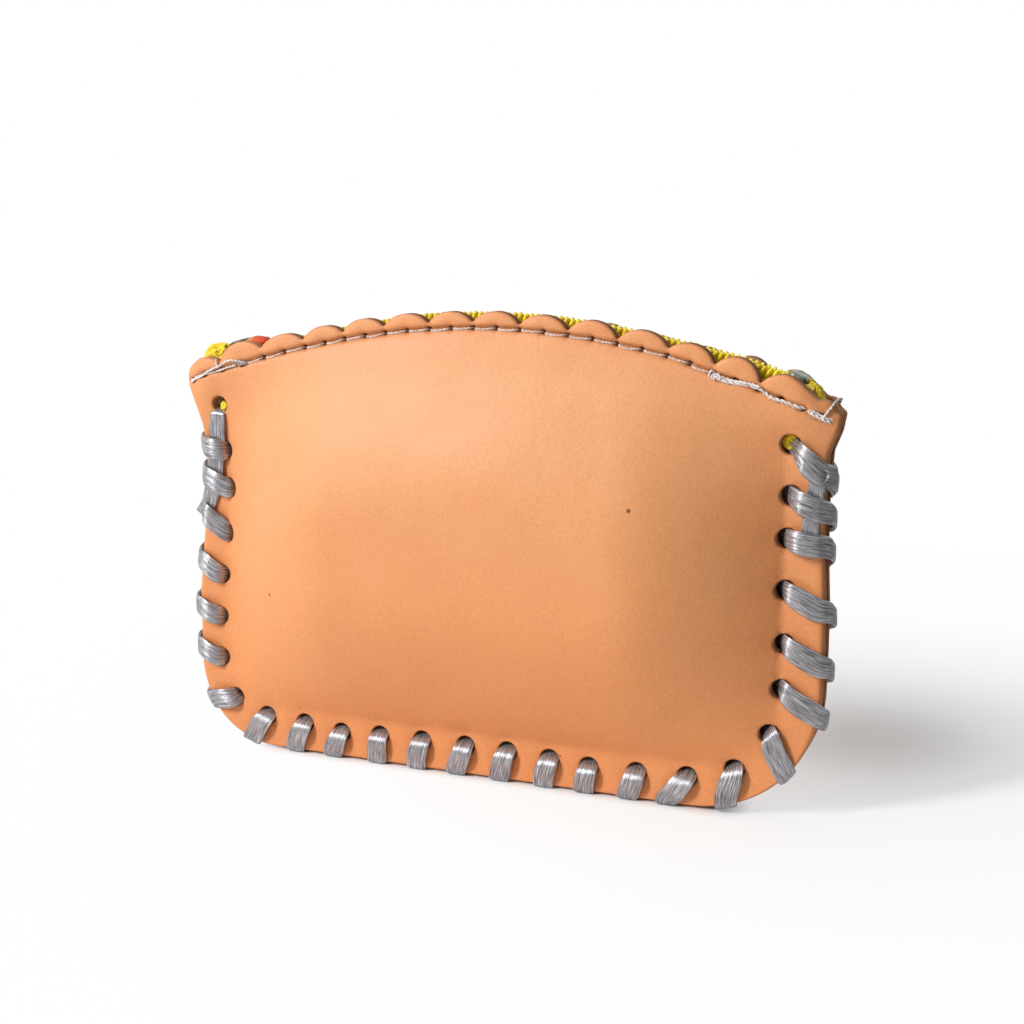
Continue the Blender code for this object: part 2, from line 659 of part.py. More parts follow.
def tube(name, points, radii, material):
    """A round solid along a line of points, with its own radius at each."""
    points = [Vector(p) for p in points]
    rings = []
    across = Vector((0.0, 1.0, 0.0))
    for k, point in enumerate(points):
        ahead = points[min(k + 1, len(points) - 1)] - points[max(k - 1, 0)]
        ahead.normalize()
        across = (across - ahead * across.dot(ahead)).normalized()
        up = ahead.cross(across)
        turns = [2 * math.pi * s / THREAD_SIDES for s in range(THREAD_SIDES)]
        rings.append([point + (across * math.cos(t) + up * math.sin(t)) * radii[k] for t in turns])
    return loft(name, rings, material)


def stitch_line(side):
    """Points and radii of the seam on one panel, from left to right."""
    stitch = LOBE_ANGLE / STITCHES_PER_LOBE
    count = round((LAST_LOBE - FIRST_LOBE) / stitch) + 2 * EXTRA_STITCHES
    points, radii = [], []
    for k in range(2 * count + 1):
        angle = FIRST_LOBE + stitch * (k / 2 - EXTRA_STITCHES)
        radius = THREAD_WAIST if k % 2 == 0 else THREAD_RADIUS
        x, z = on_arc(angle, ARC_RADIUS - STITCH_INSET)
        points.append((x, side * (outer_face(x, z) + THREAD_SEAT + radius), z))
        radii.append(radius)
    return points, radii


def seam_thread(material):
    """The thread that sews the zip in: along the front, over the right corner, along the back."""
    front, front_radii = stitch_line(FRONT)
    back, back_radii = stitch_line(BACK)
    over = THREAD_SEAT + THREAD_RADIUS
    edge_x = (2 * CORNER_X - CORNER_CUT) / 2
    edge_z = (CORNER_HEIGHT - CORNER_CUT / 2 + on_arc(CORNER_ANGLE, ARC_RADIUS)[1]) / 2
    beside = level_outside(edge_x, edge_z) - FIT + over
    wrap = [(edge_x, FRONT * beside, edge_z), (edge_x + over, FRONT * beside, edge_z + over)]
    wrap += [(edge_x + over, BACK * beside, edge_z + over), (edge_x, BACK * beside, edge_z)]
    points = front + wrap + back[::-1]
    radii = front_radii + [THREAD_RADIUS] * len(wrap) + back_radii[::-1]
    return tube("seam_thread", points, radii, material)


def build():
    for thing in list(bpy.data.objects):
        bpy.data.objects.remove(thing, do_unlink=True)
    tan_leather = principled("tan_leather", (0.78, 0.43, 0.20), 0.55)
    silver_lace = principled("silver_lace", (0.55, 0.54, 0.54), 0.35)
    zip_cloth = principled("yellow_zip_cloth", (0.75, 0.52, 0.05), 0.85)
    zip_teeth = principled("yellow_zip_teeth", (0.80, 0.55, 0.05), 0.40)
    stop_metal = principled("zip_stop_metal", (0.50, 0.50, 0.46), 0.35, 1.0)
    slider_metal = principled("slider_metal", (0.40, 0.42, 0.36), 0.35, 1.0)
    tab_leather = principled("orange_tab_leather", (0.70, 0.16, 0.05), 0.55)
    white_thread = principled("white_thread", (0.75, 0.70, 0.70), 0.60)
    face = panel_triangles()
    panel("front_panel", FRONT, face, tan_leather)
    panel("back_panel", BACK, face, tan_leather)
    edge_lace(silver_lace)
    zip_tape("zip_tape_front", FRONT, zip_cloth)
    zip_tape("zip_tape_back", BACK, zip_cloth)
    zip_coil("zip_coil_front", FRONT, zip_teeth)
    zip_coil("zip_coil_back", BACK, zip_teeth)
    zip_bottom_stop(stop_metal)
    slider(slider_metal)
    pull_tab(tab_leather)
    seam_thread(white_thread)


build()
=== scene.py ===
import math

import bpy
import numpy as np
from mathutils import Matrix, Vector, noise
from mathutils.geometry import delaunay_2d_cdt
from mathutils.kdtree import KDTree


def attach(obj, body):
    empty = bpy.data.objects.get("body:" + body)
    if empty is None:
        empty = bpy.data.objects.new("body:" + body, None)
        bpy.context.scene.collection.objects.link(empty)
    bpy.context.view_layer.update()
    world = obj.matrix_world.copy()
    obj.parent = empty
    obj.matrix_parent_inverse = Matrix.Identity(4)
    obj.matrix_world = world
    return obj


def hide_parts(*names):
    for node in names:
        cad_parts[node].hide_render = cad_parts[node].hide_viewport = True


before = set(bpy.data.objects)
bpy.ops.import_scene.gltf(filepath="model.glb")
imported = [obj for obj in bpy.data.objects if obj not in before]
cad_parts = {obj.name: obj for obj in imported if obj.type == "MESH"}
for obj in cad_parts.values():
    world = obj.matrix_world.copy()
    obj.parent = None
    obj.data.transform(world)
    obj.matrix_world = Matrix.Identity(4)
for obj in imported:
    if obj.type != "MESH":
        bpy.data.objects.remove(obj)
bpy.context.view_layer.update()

# All lengths are in millimetres. X runs along the width, Y from the front panel to the
# back one, Z up. Meshes are made in metres.
MM = 0.001
FRONT, BACK = -1.0, 1.0

# Outline of a panel and the curve of its top edge, which is an arc through both corners
HALF_WIDTH = 48.8
CORNER_HEIGHT = 59.0
TOP_RISE = 9.75
LEATHER_BOTTOM = 0.36
CORNER_X = 50.0
ARC_RADIUS = (CORNER_X**2 + TOP_RISE**2) / (2 * TOP_RISE)
ARC_CENTRE_Z = CORNER_HEIGHT + TOP_RISE - ARC_RADIUS
LEFT_BOTTOM_RADIUS = 13.0
RIGHT_BOTTOM_RADIUS = 18.0
# The sides, as (x, z) from the top down: cut by hand, and drawn in a little by the lace
RIGHT_SIDE = ((50.0, 56.4), (49.6, 54.0), (48.6, 51.4), (48.3, 46.0), (48.35, 38.0), (48.8, 30.0),
              (48.85, 24.0))
LEFT_SIDE = ((-48.8, 56.6), (-48.0, 54.0), (-47.0, 50.6), (-46.5, 46.0), (-47.1, 37.0), (-47.8, 32.0),
             (-48.75, 24.0))

# The notches between the hand-cut lobes, as (x, how far below the arc)
NOTCHES = (
    (-42.9, 1.5), (-35.6, 1.3), (-28.5, 1.65), (-21.8, 1.7), (-15.1, 1.6), (-8.05, 1.6), (-1.2, 1.5),
    (5.85, 1.6), (13.0, 1.7), (20.2, 1.75), (27.35, 1.45), (33.85, 1.9), (40.2, 2.3),
)
# How far each lobe between them, and those beyond the first and last one, rises over the arc
LOBE_RISES = (0.3, 0.6, -0.05, -0.15, -0.05, 0.05, 0.1, 0.2, 0.15, 0.3, 0.25, 0.05, 0.1, 0.05)
# How round a lobe is, from 0 for a shallow wave to 1 for a half circle
LOBE_ROUNDNESS = 0.82
FIRST_PEAK, LAST_PEAK = -46.2, 43.6
# The plain ends of the top edge, as (x, how far below the arc), from the outermost lobe on
LEFT_END = ((-47.6, 0.0), (-48.6, 0.35), (-49.3, 1.1))
RIGHT_END = ((45.0, 0.35), (46.6, 1.1), (47.8, 1.55), (48.6, 1.25), (49.2, 1.3), (49.7, 2.0))
# How far the back panel's top edge lies lower than the front one's, as (x, how far)
BACK_LOWERED = ((-50, 0.0), (-44, 0.7), (-30, 1.0), (-10, 0.8), (0, 0.75), (12, 0.75), (19, 0.9),
                (24, 1.1), (31, 0.85), (34, 0.65), (37, 0.35), (40, 0.1), (43, 0.0), (50, 0.0))

# The leather, and how far each panel stands off the middle plane: at its laced edge, at the
# top of the padding, and at the mouth, which the zip holds open
LEATHER = 1.8
EDGE_HALF_GAP = 0.6
BULGE, BULGE_POWER = 9.8, 1.03
MOUTH_HALF_GAP = 2.45
# Flat margin and rise of the padding, first at the sides and bottom, then below the top edge
FLANGE, BULGE_RUN = 6.0, 22.5
TOP_FLANGE, TOP_RUN = 3.0, 26.0
# Height of the mouth's flat strip and of its slope, and how far it closes towards its two ends
MOUTH_FLAT, MOUTH_RUN = 1.5, 11.0
MOUTH_END_MARGIN, MOUTH_END_RUN = 4.8, 7.0
# How round the cut edges are: everywhere, how much more along the sides, and in the holes
EDGE_ROUND, SIDE_ROUND, HOLE_ROUND = 0.36, 0.45, 0.2

# Punched holes in lacing order, from the top right one round to the top left one. They were
# punched by eye, so they aren't evenly spaced.
HOLES = np.array([
    (43.6, 52.4), (43.7, 45.5), (43.4, 39.7), (43.4, 32.6), (43.5, 25.2), (43.3, 18.8),
    (41.9, 12.3), (37.2, 6.6), (30.5, 4.6), (23.1, 4.2), (15.9, 4.0), (9.9, 4.4),
    (3.3, 4.7), (-3.4, 4.7), (-10.5, 4.6), (-17.5, 4.5), (-24.1, 4.1), (-30.5, 4.8),
    (-37.1, 5.2), (-42.8, 7.6), (-45.2, 13.9), (-45.2, 20.6), (-44.6, 27.3), (-43.0, 34.1),
    (-42.2, 41.1), (-43.1, 46.8), (-43.3, 53.9),
])
# A 3 mm punch; the lace's end has pulled the last one narrow
HOLE_RADIUS = 1.45
HOLE_RADII = np.append(np.full(26, HOLE_RADIUS), 1.25)
# How far each stitch of the lace runs along the edge on its way out from its hole
STITCH_SLANTS = (
    2.6, 1.7, 0.4, 2.6, 2.4, 2.8, 3.4, 3.4, 2.8, 1.0, 0.4, 0.7, 1.0,
    1.3, 0.7, 0.4, 1.3, 1.6, 1.9, 1.9, 1.3, 1.3, 1.6, 2.5, 1.3, 0.7,
)

# How far the seam lies below the arc, as (x, how far): it was sewn by hand and wanders
SEAM_INSETS = ((-48.7, 2.3), (-45.5, 2.2), (-42.0, 2.55), (-36.0, 2.65), (-26.0, 2.65), (-12.0, 2.35),
               (3.0, 2.1), (17.0, 2.2), (29.0, 2.4), (34.0, 2.9), (40.0, 3.05), (46.0, 3.3), (49.5, 3.5))
# How deep and wide the leather is drawn in by the thread, by the needle and by the lace, and
# how far the lobes puff out over the seam
SEAM_GROOVE, SEAM_GROOVE_WIDTH = 0.42, 0.36
NEEDLE_DENT, NEEDLE_WIDTH = 0.65, 0.42
LACE_PULL, LACE_PULL_WIDTH = 0.3, 2.4
LOBE_PUFF = 0.18
# How uneven the padding is, as (height, size) of its lumps
BROAD_LUMPS, FINE_LUMPS = (0.16, 13), (0.05, 4.5)


def smooth(value):
    """0 below 0, 1 above 1, with an even slope between."""
    value = np.clip(value, 0.0, 1.0)
    return value * value * (3 - 2 * value)


def rise(distance, flat, run):
    """The pillow's rise from 0 at the end of the flat flange to 1 after its run."""
    share = np.clip((distance - flat) / run, 0.0, 1.0)
    return np.sin(np.pi / 2 * share**BULGE_POWER)


def on_arc(angle, radius):
    """Points (x, z) at a radius of the top edge's arc."""
    return np.stack([radius * np.sin(angle), ARC_CENTRE_Z + radius * np.cos(angle)], axis=-1)


def below_arc(x, z):
    """How far a place lies below the top edge's arc."""
    return ARC_RADIUS - np.hypot(x, z - ARC_CENTRE_Z)


def lowered(x, z):
    """The back panel's height at a place of the same pattern: its top edge lies a little lower."""
    places, depths = np.array(BACK_LOWERED).T
    return z - np.interp(x, places, depths) * (1 - smooth((below_arc(x, z) - 4) / 10))


def half_gap(x, z):
    """Distance from the middle plane to a panel's inner face."""
    side, bottom, top = HALF_WIDTH - np.abs(x), z - 1.1, below_arc(x, z)
    pillow = rise(side, FLANGE, BULGE_RUN) * rise(bottom, FLANGE, BULGE_RUN)
    pillow = pillow * BULGE * rise(top, TOP_FLANGE, TOP_RUN)
    mouth = smooth(1 - (MOUTH_END_MARGIN - side) / MOUTH_END_RUN)
    mouth = mouth * (1 - smooth((top - MOUTH_FLAT) / MOUTH_RUN))
    return EDGE_HALF_GAP + pillow + mouth * (MOUTH_HALF_GAP - EDGE_HALF_GAP)


def face_level(x, z):
    """Distance from the middle plane to a panel's smooth outer face."""
    step = 0.05
    slope_x = (half_gap(x + step, z) - half_gap(x - step, z)) / (2 * step)
    slope_z = (half_gap(x, z + step) - half_gap(x, z - step)) / (2 * step)
    return half_gap(x, z) + LEATHER * np.sqrt(1 + slope_x**2 + slope_z**2)


# ---------------------------------------------------------------- materials


def linear(code):
    """An sRGB hex colour as linear red, green, blue and alpha."""
    parts = [int(code[k:k + 2], 16) / 255 for k in (1, 3, 5)]
    return [p / 12.92 if p <= 0.04045 else ((p + 0.055) / 1.055) ** 2.4 for p in parts] + [1.0]


def add(tree, kind, sockets=None, stops=None, **settings):
    """Adds a node. sockets are its inputs by name: each is a value, another node, which stands
    for its first output, or one output of another node."""
    made = tree.nodes.new(kind)
    for name, value in settings.items():
        setattr(made, name, value)
    for name, value in (sockets or {}).items():
        if isinstance(value, bpy.types.Node):
            value = value.outputs[0]
        if isinstance(value, bpy.types.NodeSocket):
            tree.links.new(value, made.inputs[name])
        else:
            made.inputs[name].default_value = value
    if stops:
        ramp = made.color_ramp.elements
        while len(ramp) < len(stops):
            ramp.new(0.5)
        for element, (place, colour) in zip(ramp, stops):
            element.position = place
            element.color = colour
    return made


def new_material(name):
    """A material and its empty tree."""
    material = bpy.data.materials.new(name)
    material.use_nodes = True
    material.node_tree.nodes.clear()
    return material, material.node_tree


def grey(value):
    return (value, value, value, 1.0)


def per_mm(size):
    """A texture's scale for marks of that size in millimetres, in object coordinates."""
    return 1 / (size * MM)


# The leather's darker zones: the distance that each goes by, where it begins to fade and where
# it ends, in millimetres, how strong it is and its colour. They are painted shade along the laced
# margin, where the pillow turns away from the lamp, the burnished rim, painted shade in the groove
# of the seam, and painted shade in the seam's needle holes.
PAINTED_SHADE_AND_BURNISH_ZONES = (
    ("from_cut_edge", 0.2, 7.0, 0.6, "#E8935A"),
    ("from_cut_edge", 0.0, 0.3, 0.4, "#9A5A34"),
    ("from_seam", 0.15, 0.75, 0.55, "#B0703F"),
    ("from_needle", 0.3, 0.5, 0.9, "#5A2F1A"),
)


def vegetable_tanned_leather():
    """Vegetable-tanned cowhide, grain side out: a warm tan with a soft satin sheen, paler
    towards the top as painted sheen from above, darker at its laced margin, its seam and needle
    holes as painted shade, with a fine pebble, a few pits and burnished edges."""
    material, tree = new_material("vegetable_tanned_leather")
    place = add(tree, "ShaderNodeTexCoord").outputs["Object"]
    cloud = add(tree, "ShaderNodeTexNoise", {"Vector": place, "Scale": per_mm(17), "Detail": 5.0,
                                             "Roughness": 0.62, "Distortion": 0.6})
    height = add(tree, "ShaderNodeSeparateXYZ", {"Vector": place})
    # Paler towards the top: a painted sheen of the light from above, added to the random mottling
    painted_top_sheen = add(tree, "ShaderNodeMapRange", {"Value": height.outputs["Z"],
                                              "From Min": 8 * MM, "From Max": 62 * MM})
    mottle_and_top_sheen = add(tree, "ShaderNodeMath", {0: painted_top_sheen, 1: cloud}, operation="ADD")
    patches = add(tree, "ShaderNodeMapRange", {"Value": mottle_and_top_sheen, "From Min": 0.35, "From Max": 1.6})
    tan = add(tree, "ShaderNodeValToRGB", {"Fac": patches},
              stops=[(0.0, linear("#E8975B")), (0.5, linear("#EA9E66")), (1.0, linear("#ECA874"))])
    # Painted shade at the laced margin, in the seam's groove and in its needle holes, and the real
    # burnished rim
    for label, near, far, strength, colour in PAINTED_SHADE_AND_BURNISH_ZONES:
        distance = add(tree, "ShaderNodeAttribute", attribute_name=label).outputs["Fac"]
        zone = add(tree, "ShaderNodeMapRange", {"Value": distance, "From Min": near, "From Max": far,
                                                "To Min": strength, "To Max": 0.0})
        tan = add(tree, "ShaderNodeMixRGB", {"Fac": zone, "Color1": tan, "Color2": linear(colour)})
    speckle = add(tree, "ShaderNodeTexNoise", {"Vector": place, "Scale": per_mm(0.36), "Detail": 3.0,
                                               "Roughness": 0.8})
    speckled = add(tree, "ShaderNodeValToRGB", {"Fac": speckle},
                   stops=[(0.32, grey(0.84)), (0.6, grey(1.0))])
    toned = add(tree, "ShaderNodeMixRGB", {"Fac": 0.8, "Color1": tan, "Color2": speckled},
                blend_type="MULTIPLY")
    # A few pits half a millimetre wide, darkened with painted shade in their hollows: they lie a
    # centimetre apart in a solid pattern, of which the surface meets only some
    pit = add(tree, "ShaderNodeTexVoronoi", {"Vector": place, "Scale": per_mm(11), "Randomness": 1.0})
    pit_shape = add(tree, "ShaderNodeMapRange", {"Value": pit, "From Min": 0.02, "From Max": 0.032,
                                                 "To Min": 0.85, "To Max": 0.0})
    with_painted_pit_shade = add(tree, "ShaderNodeMixRGB", {"Fac": pit_shape, "Color1": toned,
                                            "Color2": linear("#5A2F1C")})
    # Real pores are about 0.15 mm; the pebble is drawn 0.42 mm wide, to show at this size
    pebble = add(tree, "ShaderNodeTexVoronoi", {"Vector": place, "Scale": per_mm(0.42)},
                 feature="SMOOTH_F1")
    wrinkle = add(tree, "ShaderNodeTexNoise", {"Vector": place, "Scale": per_mm(1.6), "Detail": 5.0})
    rough = add(tree, "ShaderNodeMath", {0: pebble, 1: wrinkle}, operation="ADD")
    dented = add(tree, "ShaderNodeMath", {0: rough, 1: pit_shape}, operation="SUBTRACT")
    grain = add(tree, "ShaderNodeBump", {"Height": dented, "Strength": 0.42, "Distance": 0.06 * MM})
    gloss = add(tree, "ShaderNodeMapRange", {"Value": cloud, "From Min": 0.3, "From Max": 0.7,
                                             "To Min": 0.44, "To Max": 0.56})
    shader = add(tree, "ShaderNodeBsdfPrincipled", {
        "Base Color": with_painted_pit_shade, "Roughness": gloss, "Normal": grain, "Specular IOR Level": 0.4})
    add(tree, "ShaderNodeOutputMaterial", {"Surface": shader})
    return material


def cut_leather():
    """The cut edge of the same hide: fibrous and unpolished, and darker along the zip with painted
    shade, as the lobes' flanks there face away from the lamp."""
    material, tree = new_material("cut_leather_edge")
    place = add(tree, "ShaderNodeTexCoord").outputs["Object"]
    fibres = add(tree, "ShaderNodeTexNoise", {"Vector": place, "Scale": per_mm(0.5), "Detail": 6.0})
    unshaded_edge_tone = add(tree, "ShaderNodeValToRGB", {"Fac": fibres},
                stops=[(0.3, linear("#A8693F")), (0.7, linear("#BE8454"))])
    # Painted shade for the lobes' flanks along the zip
    painted_flank_shade = add(tree, "ShaderNodeValToRGB", {"Fac": fibres},
                  stops=[(0.3, linear("#5A3018")), (0.7, linear("#915A34"))])
    height = add(tree, "ShaderNodeSeparateXYZ", {"Vector": place})
    near_zip = add(tree, "ShaderNodeMapRange", {"Value": height.outputs["Z"],
                                                "From Min": 57 * MM, "From Max": 60 * MM})
    # The painted shade fades out towards the two ends
    aside = add(tree, "ShaderNodeMath", {0: height.outputs["X"], 1: 5 * MM}, operation="SUBTRACT")
    aside = add(tree, "ShaderNodeMath", {0: aside}, operation="ABSOLUTE")
    off_ends = add(tree, "ShaderNodeMapRange", {"Value": aside, "From Min": 34 * MM,
                                                "From Max": 42 * MM, "To Min": 1.0, "To Max": 0.15})
    where = add(tree, "ShaderNodeMath", {0: near_zip, 1: off_ends}, operation="MULTIPLY")
    tone = add(tree, "ShaderNodeMix", {0: where, 6: unshaded_edge_tone, 7: painted_flank_shade}, data_type="RGBA")
    rough = add(tree, "ShaderNodeBump", {"Height": fibres, "Strength": 0.6, "Distance": 0.1 * MM})
    shader = add(tree, "ShaderNodeBsdfPrincipled", {
        "Base Color": tone.outputs[2], "Roughness": 0.85, "Normal": rough})
    add(tree, "ShaderNodeOutputMaterial", {"Surface": shader})
    return material


def flesh_side():
    """The inside of the hide: suede-like, matt and a little paler than the cut edge."""
    material, tree = new_material("leather_flesh_side")
    place = add(tree, "ShaderNodeTexCoord").outputs["Object"]
    nap = add(tree, "ShaderNodeTexNoise", {"Vector": place, "Scale": per_mm(0.8), "Detail": 6.0})
    tone = add(tree, "ShaderNodeValToRGB", {"Fac": nap},
               stops=[(0.3, linear("#9C6A47")), (0.7, linear("#C08F68"))])
    rough = add(tree, "ShaderNodeBump", {"Height": nap, "Strength": 0.5, "Distance": 0.1 * MM})
    shader = add(tree, "ShaderNodeBsdfPrincipled", {
        "Base Color": tone, "Roughness": 0.95, "Normal": rough})
    add(tree, "ShaderNodeOutputMaterial", {"Surface": shader})
    return material


def satin_floss():
    """Silver floss, half of it metallised filaments: parallel and very fine, so it flashes
    white in bands across its width and looks slate grey elsewhere."""
    material, tree = new_material("silver_satin_floss")
    # The floss map is in millimetres: first across the lace, then along it
    along = add(tree, "ShaderNodeUVMap", uv_map="floss")
    # Real filaments are about 0.02 mm; they are drawn 0.16 mm wide, to show at this size
    stretched = add(tree, "ShaderNodeMapping", {"Vector": along, "Scale": (6.0, 0.35, 1.0)})
    filament = add(tree, "ShaderNodeTexNoise", {"Vector": stretched, "Scale": 1.0, "Detail": 3.0,
                                                "Roughness": 0.65})
    tone = add(tree, "ShaderNodeValToRGB", {"Fac": filament},
               stops=[(0.34, linear("#6A666A")), (0.5, linear("#A8A7AB")), (0.66, linear("#E0E0E4"))])
    # Strands lean a little along their length, which frays the edges of the white bands
    loose = add(tree, "ShaderNodeMapping", {"Vector": along, "Scale": (3.2, 0.9, 1.0)})
    lean = add(tree, "ShaderNodeTexNoise", {"Vector": loose, "Scale": 1.0, "Detail": 2.0})
    relief = add(tree, "ShaderNodeMath", {0: filament, 1: lean}, operation="ADD")
    ridges = add(tree, "ShaderNodeBump", {"Height": relief, "Strength": 0.6, "Distance": 0.13 * MM})
    across = add(tree, "ShaderNodeTangent", direction_type="UV_MAP", uv_map="floss")
    shader = add(tree, "ShaderNodeBsdfPrincipled", {
        "Base Color": tone, "Metallic": 0.62, "Roughness": 0.4, "Anisotropic": 0.8,
        "Normal": ridges, "Tangent": across})
    add(tree, "ShaderNodeOutputMaterial", {"Surface": shader})
    return material


def sewing_thread(name, dark, light):
    """Twisted polyester sewing thread: soft sheen, slightly fuzzy."""
    material, tree = new_material(name)
    place = add(tree, "ShaderNodeTexCoord").outputs["Object"]
    fuzz = add(tree, "ShaderNodeTexNoise", {"Vector": place, "Scale": per_mm(0.25), "Detail": 4.0})
    tone = add(tree, "ShaderNodeValToRGB", {"Fac": fuzz},
               stops=[(0.35, linear(dark)), (0.6, linear(light))])
    lumps = add(tree, "ShaderNodeBump", {"Height": fuzz, "Strength": 0.4, "Distance": 0.05 * MM})
    shader = add(tree, "ShaderNodeBsdfPrincipled", {
        "Base Color": tone, "Roughness": 0.6, "Normal": lumps,
        "Sheen Weight": 0.3, "Sheen Roughness": 0.4})
    add(tree, "ShaderNodeOutputMaterial", {"Surface": shader})
    return material


def woven_zip_tape():
    """Woven polyester zip tape: bright lemon yellow, matt, with plain-weave nubs."""
    material, tree = new_material("woven_zip_tape")
    place = add(tree, "ShaderNodeTexCoord").outputs["Object"]
    # Yarns of such a tape are about 0.38 mm apart
    nubs = add(tree, "ShaderNodeTexVoronoi", {"Vector": place, "Scale": per_mm(0.38),
                                              "Randomness": 0.55})
    # The dark ochre at the borders of the nubs is painted shade in the gaps of the weave
    tone = add(tree, "ShaderNodeValToRGB", {"Fac": nubs},
               stops=[(0.15, linear("#FFF02C")), (0.55, linear("#F5D412")), (0.9, linear("#B08A08"))])
    weave = add(tree, "ShaderNodeBump", {"Height": nubs, "Strength": 0.8, "Distance": 0.12 * MM},
                invert=True)
    shader = add(tree, "ShaderNodeBsdfPrincipled", {
        "Base Color": tone, "Roughness": 0.75, "Normal": weave, "Sheen Weight": 0.3})
    add(tree, "ShaderNodeOutputMaterial", {"Surface": shader})
    return material


def nylon_coil():
    """Moulded nylon coil, dyed yellow: smooth and semi-gloss."""
    material, tree = new_material("yellow_nylon_coil")
    place = add(tree, "ShaderNodeTexCoord").outputs["Object"]
    patch = add(tree, "ShaderNodeTexNoise", {"Vector": place, "Scale": per_mm(2.5), "Detail": 2.0})
    tone = add(tree, "ShaderNodeValToRGB", {"Fac": patch},
               stops=[(0.35, linear("#ECC80E")), (0.65, linear("#FFEC2C"))])
    shader = add(tree, "ShaderNodeBsdfPrincipled", {"Base Color": tone, "Roughness": 0.4})
    add(tree, "ShaderNodeOutputMaterial", {"Surface": shader})
    return material


def worn_metal(name, dark, light, roughness):
    """Stamped metal whose finish has dulled unevenly with handling."""
    material, tree = new_material(name)
    place = add(tree, "ShaderNodeTexCoord").outputs["Object"]
    wear = add(tree, "ShaderNodeTexNoise", {"Vector": place, "Scale": per_mm(1.2), "Detail": 5.0})
    tone = add(tree, "ShaderNodeValToRGB", {"Fac": wear},
               stops=[(0.35, linear(dark)), (0.65, linear(light))])
    dull = add(tree, "ShaderNodeMapRange", {"Value": wear, "From Min": 0.3, "From Max": 0.7,
                                            "To Min": roughness + 0.12, "To Max": roughness - 0.06})
    pits = add(tree, "ShaderNodeBump", {"Height": wear, "Strength": 0.2, "Distance": 0.05 * MM})
    shader = add(tree, "ShaderNodeBsdfPrincipled", {
        "Base Color": tone, "Metallic": 1.0, "Roughness": dull, "Normal": pits})
    add(tree, "ShaderNodeOutputMaterial", {"Surface": shader})
    return material


def dyed_leather():
    """Thin split leather, dyed orange-red: matt, with a faint grain, and paler tan towards its
    end at the bridge."""
    material, tree = new_material("orange_dyed_leather")
    place = add(tree, "ShaderNodeTexCoord").outputs["Object"]
    dye = add(tree, "ShaderNodeTexNoise", {"Vector": place, "Scale": per_mm(0.9), "Detail": 4.0})
    deep_orange_red = add(tree, "ShaderNodeValToRGB", {"Fac": dye},
                stops=[(0.35, linear("#C23C1A")), (0.65, linear("#F25A26"))])
    along = add(tree, "ShaderNodeSeparateXYZ", {"Vector": place})
    # Paler tan towards the end at the bridge
    by_position = add(tree, "ShaderNodeMapRange", {"Value": along.outputs["X"], "From Min": -39.6 * MM,
                                              "From Max": -38.0 * MM, "To Min": 1.0, "To Max": 0.0})
    tone = add(tree, "ShaderNodeMix", {0: by_position, 6: deep_orange_red, 7: linear("#D98F58")}, data_type="RGBA")
    grain = add(tree, "ShaderNodeBump", {"Height": dye, "Strength": 0.4, "Distance": 0.06 * MM})
    shader = add(tree, "ShaderNodeBsdfPrincipled", {
        "Base Color": tone.outputs[2], "Roughness": 0.55, "Normal": grain})
    add(tree, "ShaderNodeOutputMaterial", {"Surface": shader})
    return material


# ---------------------------------------------------------------- meshes


def make_piece(name, vertices, faces, materials, body="purse", slot=None, replaces=()):
    """A piece of the purse, from corners in millimetres, which rides on a body."""
    mesh = bpy.data.meshes.new(name)
    mesh.from_pydata((np.asarray(vertices, float) * MM).tolist(), [], faces)
    for material in materials:
        mesh.materials.append(material)
    mesh.shade_smooth()
    mesh.validate()
    thing = bpy.data.objects.new(name, mesh)
    bpy.context.collection.objects.link(thing)
    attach(thing, body)
    if replaces:
        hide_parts(*replaces)
    return thing


def unit(vectors):
    """The same directions, each of length 1."""
    return vectors / np.maximum(np.linalg.norm(vectors, axis=-1, keepdims=True), 1e-9)


def rounded_path(rows, spacing, softness):
    """Rows of numbers, of which the first three are a place, joined by a line whose corners
    are rounded off over a length called softness."""
    rows = np.asarray(rows, float)
    steps = np.linalg.norm(np.diff(rows[:, :3], axis=0), axis=1)
    lengths = np.concatenate([[0.0], np.cumsum(np.maximum(steps, 1e-6))])
    fine = spacing / 4
    count = max(int(lengths[-1] / fine), 8)
    places = np.linspace(0, lengths[-1], count)
    dense = np.column_stack([np.interp(places, lengths, column) for column in rows.T])
    reach = max(int(softness / fine), 1)
    weights = np.hanning(2 * reach + 3)[1:-1]
    weights /= weights.sum()
    padded = np.vstack([np.repeat(dense[:1], reach, axis=0), dense,
                        np.repeat(dense[-1:], reach, axis=0)])
    rounded = np.column_stack([np.convolve(column, weights, "valid") for column in padded.T])
    rounded[0], rounded[-1] = dense[0], dense[-1]
    return np.vstack([rounded[:-1:4], rounded[-1:]])


def ring_faces(rings, around):
    """Faces that join rings of corners into a closed tube."""
    ring = np.arange(rings - 1)[:, None] * around
    k = np.arange(around)[None, :]
    ahead = (k + 1) % around
    quads = np.stack([ring + k, ring + ahead, ring + around + ahead, ring + around + k], axis=-1)
    last = (rings - 1) * around
    ends = [list(range(around - 1, -1, -1)), list(range(last, last + around))]
    return quads.reshape(-1, 4).tolist() + ends


# ---------------------------------------------------------------- panels


def even_line(points, spacing, closed=False):
    """The same line, with its points evenly spaced."""
    points = np.asarray(points, float)
    if closed:
        points = np.vstack([points, points[:1]])
    lengths = np.concatenate([[0.0], np.cumsum(np.linalg.norm(np.diff(points, axis=0), axis=1))])
    places = np.linspace(0, lengths[-1], max(round(lengths[-1] / spacing), 2) + 1)
    if closed:
        places = places[:-1]
    return np.column_stack([np.interp(places, lengths, column) for column in points.T])


